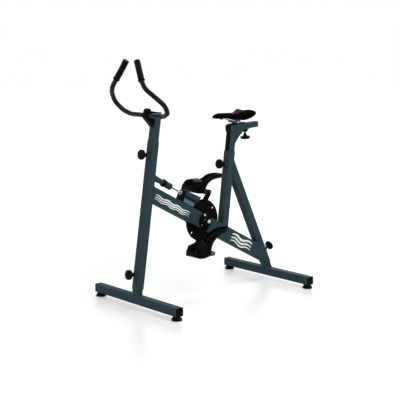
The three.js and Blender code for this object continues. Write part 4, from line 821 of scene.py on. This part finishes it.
# %% A sheet with thickness
def sheet_piece(name, grid, body, slot, stands_for, wall):
    """An open grid given a wall, half of it on each side of the grid, and rounded edges."""
    rows, columns = grid.shape[:2]
    r, c = np.meshgrid(np.arange(rows - 1), np.arange(columns - 1), indexing="ij")
    first = (r * columns + c).ravel()
    faces = np.stack([first, first + columns, first + columns + 1, first + 1], 1)
    mesh = bpy.data.meshes.new(name)
    mesh.from_pydata(grid.reshape(-1, 3), [], faces)
    tidy(mesh, 60)
    made = dressed(bpy.data.objects.new(name, mesh), body, slot, stands_for)
    solid = made.modifiers.new("Wall", "SOLIDIFY")
    solid.thickness = wall * mm
    solid.offset = 0
    solid.use_even_offset = True
    edge = made.modifiers.new("Soft edge", "BEVEL")
    edge.limit_method = "ANGLE"
    edge.angle_limit = math.radians(50)
    edge.width = 1.6 * mm
    edge.segments = 3
    return made


for side, word, foot in foot_sides:
    sheet_piece(f"{word}_heel_guard_moulded", carried(spoon(), foot, (0, side * pedal_y, 0)),
                f"{word}_footplate", "black_plastic", [f"{word}_heel_guard"], guard_wall)
print("two heel guards")

# %% [markdown]
# The disc has four holes, and the one above and before the crank is filled with black. A
# short turned plug stands in it, a little below both faces of the disc. Its two heights are
# read from the disc's own vertices, so that it follows the disc's thickness.

# %% Plug in the disc
disc = frame["nodes"]["brake_disc"].data.vertices
corners = np.empty(3 * len(disc))
disc.foreach_get("co", corners)
disc_y = corners[1::3] / mm
plug_low, plug_high = disc_y.min() + 0.3, disc_y.max() - 0.3
hole_circle, hole_angle = 96, math.radians(51.4)
plug_at = np.array([crank_x + hole_circle * math.cos(hole_angle), 0,
                    crank_z + hole_circle * math.sin(hole_angle)]) * mm
plug = turned(eased([[0, plug_low], [5.6, plug_low], [5.6, plug_high], [0, plug_high]], 0.2), 32)
# The black fill makes that hole as dark as the disc around it.
piece("disc_hole_black_fill", [carried(plug, outward((plug_at, np.eye(3)), (0, 1, 0)))],
      "crankset", "black_paint")
print("disc", round(disc_y.max() - disc_y.min(), 2), "mm thick")

# %% [markdown]
# The brake's carrier and the strips on its bracket are boxes with rounded corners. A cube
# with a Bevel modifier could make them. A stack of rounded rectangles lets the long corners
# and the two ends have radii of their own, and its points can be sloped afterwards.

# %% Rounded blocks
def outline(width, height, corner, count=40):
    """Points of a rounded rectangle, evenly spaced along its length."""
    steps = 32
    a = np.linspace(0, 2 * math.pi, steps, endpoint=False) + math.pi / steps
    cx = np.sign(np.cos(a)) * (width / 2 - corner) + corner * np.cos(a)
    cy = np.sign(np.sin(a)) * (height / 2 - corner) + corner * np.sin(a)
    loop = np.stack([cx, cy], 1)
    return evenly(np.concatenate([loop, loop[:1]]), count + 1)[:-1]


def rounded_block(low, high, half_width, bottom, top, corner, roll):
    """Rounded rectangles in rows from low to high along X, each drawn in by the roll that
    eases the block's two ends."""
    line = eased([[corner, low], [0, low], [0, high], [corner, high]], roll)
    loop = outline(2 * half_width, top - bottom, corner, 48)
    share = 1 - line[:, 0][:, None, None] / np.array([half_width, (top - bottom) / 2])
    yz = loop * share + np.array([0, (top + bottom) / 2])
    x = line[:, 1][:, None, None] + 0 * yz[..., :1]
    return closed_ends(np.concatenate([x, yz], 2)) * mm


print("a tube's outline has", len(outline(40, 40, 3)), "points")

# %% [markdown]
# The brake's knob is a ribbed barrel with a wide collar at its front end. The rod runs from
# it to a nut that stands against a block, and the block carries the pad down to the disc.
# The barrel's grooves come from a radius that changes with the angle, so nothing is cut.

# %% Brake knob, carrier and nut
def ribbed(rows, columns=168):
    """Radius 17.5 - 1.8 g(a), with g a rounded groove repeated fourteen times round."""
    a = np.linspace(0, 2 * math.pi, columns, endpoint=False)
    groove = 1.8 * np.clip(0.5 - 0.9 * np.cos(14 * a), 0, 1)
    share, height = rows[:, :1], rows[:, 1:]
    r = share * (17.5 - groove * (share > 0.6))
    return np.stack([r * np.cos(a), r * np.sin(a), height + 0 * a], -1) * mm


barrel = closed_ends(ribbed(np.array([[0.27, 289], [0.82, 289], [0.94, 289.6], [1, 291.4],
                                      [1, 336], [0.94, 338], [0.27, 338]])))
collar = turned(eased([[0, 337], [18, 337], [20.5, 340], [20.5, 348.5], [18.5, 351], [0, 351]],
                      1.2), 64)
piece("brake_knob_ribbed", [carried(barrel, rod_frame)], "brake_screw", "black_plastic",
      ["brake_knob"], "brake_knob", sharp=40)
piece("brake_knob_collar", [carried(collar, rod_frame)], "brake_screw", "black_plastic")
tongue = rounded_block(150.5, 199, 17, 38, 88, 2, 1.0)
block = rounded_block(196.5, 211, 21.4, 34.4, 93.4, 6, 3.0)
piece("brake_carrier_moulded", [carried(grid, beam) for grid in (tongue, block)], "brake_shoe",
      "black_plastic", ["brake_carrier"])
nut = [turned(eased([[0, 209], [11.5, 209], [11.5, 212], [0, 212]], 0.6), 40),
       turned(eased([[0, 212], [9.5, 212], [9.5, 234], [7.5, 236.5], [0, 236.5]], 1.0), 6)]
piece("brake_nut_turned", [carried(grid, rod_frame) for grid in nut], "brake_shoe",
      "bright_steel", sharp=25)
print("brake knob", barrel.shape[0], "rings of", barrel.shape[1])

# %% [markdown]
# Thin pieces finish the bracket and the seat post. A black strip lies on the bracket's
# sloping lid. A thin strip of painted shade lies in the groove along each side, and the lower
# walls lean out a little and wear a lighter copy of the frame paint, as painted light. A
# black glide strip runs up the front of the seat post. Each is a thin block laid on its
# solid, so the solid itself needs no cut and no second colour.

# %% Bracket and seat post trims
lid_end, lid_slope = 192, 7 / 112
lid = rounded_block(82, lid_end, 22.9, 93.6, 95.6, 0.6, 0.5)
lid[..., 2] += (lid_end * mm - lid[..., 0]) * lid_slope
piece("bracket_lid_strip", [carried(lid, beam)], "frame", "black_plastic")
skirt_low, skirt_top = 34.5, 57.5
for side, word in sides:
    # A thin dark strip in each groove: painted shade.
    groove_shade = rounded_block(101, 191, 0.2, 56, 73, 0.1, 0.1) + np.array([0, side * 22.6, 0]) * mm
    piece(f"bracket_{word}_groove", [carried(groove_shade, beam)], "frame", "frame_paint",
          look="shadow_paint")
    # The lower walls wear the lighter coat: painted light, as if they caught more lamplight.
    painted_lit_skirt = rounded_block(113, 190, 1, skirt_low, skirt_top, 0.4, 0.3)
    lean = (skirt_top * mm - painted_lit_skirt[..., 2]) / ((skirt_top - skirt_low) * mm)
    painted_lit_skirt[..., 1] = side * (22.2 * mm + (painted_lit_skirt[..., 1] + mm) / 2 * (0.4 + 2.2 * lean))
    piece(f"bracket_{word}_skirt", [carried(painted_lit_skirt, beam)], "frame", "frame_paint",
          look="painted_lit_coat")
post_strip = rounded_block(325, 560, 17.5, 19.8, 20.35, 0.2, 0.15)[..., [2, 1, 0]]
piece("seat_post_glide_strip", [carried(post_strip, seat_mast)], "seat_mast", "black_plastic")
print("bracket walls", skirt_top - skirt_low, "mm high")

# %% [markdown]
# Where two tubes meet, a weld bead fills the corner. A bead is a thin rippled cord laid on
# the line where one tube's outline meets the other's face, so the outline's points are slid
# along the tube until they touch that plane.

# %% Weld beads
def weld(name, loop, axes, plane, body, radius=1.7):
    """Slides each point p of a tube's outline along the tube by t, so that the plane through
    q with normal n holds it: t = n . (q - p) / n . z. Ripples come from the radius."""
    points = carried(np.column_stack([loop, np.zeros(len(loop))]) * mm, axes)
    z = axes[1][:, 2]
    normal, spot = plane
    t = ((spot - points) @ normal) / (z @ normal)
    path = points + t[:, None] * z
    steps = 240
    fine = evenly(np.concatenate([path, path[:1]]), steps + 1)[:-1]
    before, after = np.roll(fine, 1, 0), np.roll(fine, -1, 0)
    along = after - before
    along /= np.linalg.norm(along, axis=1, keepdims=True)
    side = np.cross(normal, along)
    side /= np.linalg.norm(side, axis=1, keepdims=True)
    ripple = radius * mm * (1 + 0.16 * np.abs(np.sin(np.arange(steps) * math.pi / 5)))
    section = circle(ripple, 10)
    grid = fine[:, None] + section[..., :1] * side[:, None] + section[..., 1:] * normal
    return piece(name, [grid], body, "frame_paint", rings=True, sharp=80)


def plane_of(axes, local_normal, offset):
    """A plane across one of the axes' own directions, at that many mm along it."""
    normal = axes[1] @ np.array(local_normal, float)
    return normal, axes[0] + normal * offset * mm


def beam_view():
    """The beam's own axes with its length as Z, for sliding its outline to the posts."""
    turn = beam[1]
    return spot_at(beam, (0, 0, -7)), np.stack([turn[:, 1], turn[:, 2], turn[:, 0]], 1)


print("weld helpers ready")

# %% [markdown]
# The beads run round the two base stubs, both ends of the beam, the seat tube, the strut, the
# seat post, the brake's bracket and its socket. Three outlines serve seven of the nine. Each
# bead rides on the body of the tube that it belongs to.

# %% The nine beads
floor_bar = (np.array([0, 0, 1.0]), np.array([0, 0, bar_top]) * mm)
inner_tube, outer_tube = outline(40, 40, 3), outline(2 * tube_half, 2 * tube_half, 4)
beam_tube = outline(2 * tube_half, 80, 4, 60)
weld("front_stub_weld", inner_tube, front_mast, floor_bar, "front_base")
weld("rear_stub_weld", inner_tube, strut, floor_bar, "rear_base")
weld("beam_front_weld", beam_tube, beam_view(), plane_of(front_mast, (1, 0, 0), -tube_half),
     "frame", 1.9)
weld("beam_rear_weld", beam_tube, beam_view(), plane_of(strut, (1, 0, 0), tube_half), "frame",
     1.9)
weld("seat_tube_weld", outer_tube, seat_mast, plane_of(beam, (0, 0, 1), 33), "frame")
weld("strut_weld", outer_tube, strut, plane_of(seat_mast, (1, 0, 0), -tube_half), "frame")
weld("seat_post_weld", inner_tube, seat_mast,
     plane_of(slider, (0, 0, 1), -housing_half), "seat_mast", 1.4)
weld("brake_bracket_weld", outline(77, 45, 1, 48), (spot_at(beam, (153, 0, 0)), beam[1]),
     plane_of(beam, (0, 0, 1), 33.1), "frame", 1.3)
weld("brake_socket_weld", circle(17, 40)[0], rod_frame,
     plane_of(front_mast, (1, 0, 0), -tube_half), "frame", 1.4)
print("weld beads laid")

# %% [markdown]
# The beam's side carries a plain decoration of wavy white lines cut from film. Each line is a
# thin ribbon whose middle follows a sine and whose ends taper. It lies a fraction of a
# millimetre proud of the paint on both sides of the beam.

# %% Wave decoration
def wave_ribbon(low, high, level, swing, waves, thick, side):
    """A ribbon whose middle is z = level + swing sin(2 pi waves s) over x from low to high. It
    reaches thick/2 * sin(pi s)^0.35 above and below that line, and lies from 0.1 mm under
    the tube's face to 0.15 mm over it."""
    s = np.linspace(0, 1, 120)
    x = low + (high - low) * s
    z = level + swing * np.sin(2 * math.pi * waves * s)
    half = thick / 2 * np.sin(math.pi * np.clip(s, 0.002, 0.998)) ** 0.35
    face = side * (tube_half + np.array([-0.1, 0.15, 0.15, -0.1]))
    edge = np.array([-1, -1, 1, 1.0])
    y = face[None, :] + 0 * x[:, None]
    zz = z[:, None] + half[:, None] * edge[None, :]
    return np.stack([x[:, None] + 0 * y, y, zz], -1) * mm


ribbons = []
for side in (1, -1):
    for level, thick in ((-2, 8), (-13.5, 7), (-24, 5)):
        ribbons.append(wave_ribbon(118, 382, level, 3.2, 3.5, thick, side))
    for level, thick in ((8, 13), (-12, 11), (-29, 8)):
        ribbons.append(wave_ribbon(-405, -228, level, 6.5, 1.5, thick, side))
finishes["film"] = finish("White film", linear(250, 253, 253), 0.35, 0.45, drift=0.02, relief=0.05)
piece("beam_waves", [carried(closed_ends(grid), beam) for grid in ribbons], "frame",
      "white_nylon", look="film", sharp=30)
print(len(ribbons), "ribbons")

# %% [markdown]
# The studio is a white floor with a faint shine. Seen by the camera and in reflections it
# gives off white light of its own, more of it further out where less lamplight falls. So it
# stays white, while the bars' shadows still show. The world is white in the same way.

# %% Floor and world
bpy.ops.mesh.primitive_plane_add(size=40)
floor = bpy.context.object
floor.name = "studio_floor"
floor.location.z = -0.0005
ground = bpy.data.materials.new("Studio white")
ground.use_nodes = True
tree = ground.node_tree
shader = tree.nodes["Principled BSDF"]
shader.inputs["Base Color"].default_value = (0.8, 0.82, 0.82, 1)
shader.inputs["Roughness"].default_value = 0.28
shader.inputs["IOR"].default_value = 1.42
seen = tree.nodes.new("ShaderNodeLightPath")
either = put(tree, "ShaderNodeMath", {"operation": "MAXIMUM"}, i0=seen.outputs["Is Camera Ray"],
             i1=seen.outputs["Is Glossy Ray"])
either = put(tree, "ShaderNodeMath", {"operation": "MAXIMUM"}, i0=either.outputs[0],
             i1=seen.outputs["Is Transmission Ray"])
spot = tree.nodes.new("ShaderNodeTexCoord")
away = put(tree, "ShaderNodeVectorMath", {"operation": "LENGTH"}, i0=spot.outputs["Object"])
rise = put(tree, "ShaderNodeMapRange", Value=away.outputs["Value"], From_Min=0.9, From_Max=3.2,
           To_Min=0.33, To_Max=0.53)
glow = put(tree, "ShaderNodeMath", {"operation": "MULTIPLY"}, i0=either.outputs[0],
           i1=rise.outputs["Result"])
shader.inputs["Emission Color"].default_value = (1, 1, 1, 1)
tree.links.new(glow.outputs[0], shader.inputs["Emission Strength"])
floor.data.materials.append(ground)

world = bpy.data.worlds.new("Studio")
bpy.context.scene.world = world
world.use_nodes = True
tree = world.node_tree
sky = tree.nodes["Background"]
seen = tree.nodes.new("ShaderNodeLightPath")
either = put(tree, "ShaderNodeMath", {"operation": "MAXIMUM"}, i0=seen.outputs["Is Camera Ray"],
             i1=seen.outputs["Is Transmission Ray"])
either = put(tree, "ShaderNodeMath", {"operation": "MAXIMUM"}, i0=either.outputs[0],
             i1=seen.outputs["Is Glossy Ray"])
level = put(tree, "ShaderNodeMapRange", Value=either.outputs[0], To_Min=0.33, To_Max=1.0)
sky.inputs["Color"].default_value = (1, 1, 1, 1)
tree.links.new(level.outputs["Result"], sky.inputs["Strength"])
print("studio ready")

# %% [markdown]
# Light comes from the rider's left, which is the camera's right, so the left faces are
# brighter than the front ones. Weaker panels in front, above and behind open up the shadows.
# The camera stands where the photographer stood, with a long lens.

# %% Lamps and camera
def lamp(name, place, aim, size, watts, tall=None):
    """A soft box at a place, facing a point, square unless it is given another height."""
    light = bpy.data.lights.new(name, "AREA")
    light.shape = "RECTANGLE"
    light.size = size
    light.size_y = tall or size
    light.energy = watts
    holder = bpy.data.objects.new(name, light)
    holder.location = place
    holder.rotation_euler = (Vector(aim) - Vector(place)).to_track_quat("-Z", "Y").to_euler()
    bpy.context.collection.objects.link(holder)


lamp("Left panel", (0.2, 3.2, 2.2), (0, 0, 0.6), 2.0, 50)
lamp("Top panel", (-0.3, 0.4, 3.6), (0, 0, 0.4), 1.0, 26)
lamp("Front panel", (2.9, -1.2, 1.3), (0.3, 0, 0.8), 0.7, 18, 1.5)
lamp("Back panel", (-2.8, -2.0, 2.2), (0, 0, 0.6), 1.8, 22)

lens = bpy.data.cameras.new("Photographer")
lens.lens = 87.6
lens.sensor_width = 36
camera = bpy.data.objects.new("Photographer", lens)
yaw, pitch = math.radians(228.19), math.radians(9.31)
gaze = Vector((math.cos(yaw) * math.cos(pitch), math.sin(yaw) * math.cos(pitch),
               -math.sin(pitch)))
camera.location = (3.46606, 3.8453, 1.3609)
camera.rotation_euler = gaze.to_track_quat("-Z", "Y").to_euler()
bpy.context.collection.objects.link(camera)
bpy.context.scene.camera = camera
bpy.context.scene.view_settings.view_transform = "Standard"
print("camera at", tuple(round(v, 2) for v in camera.location))
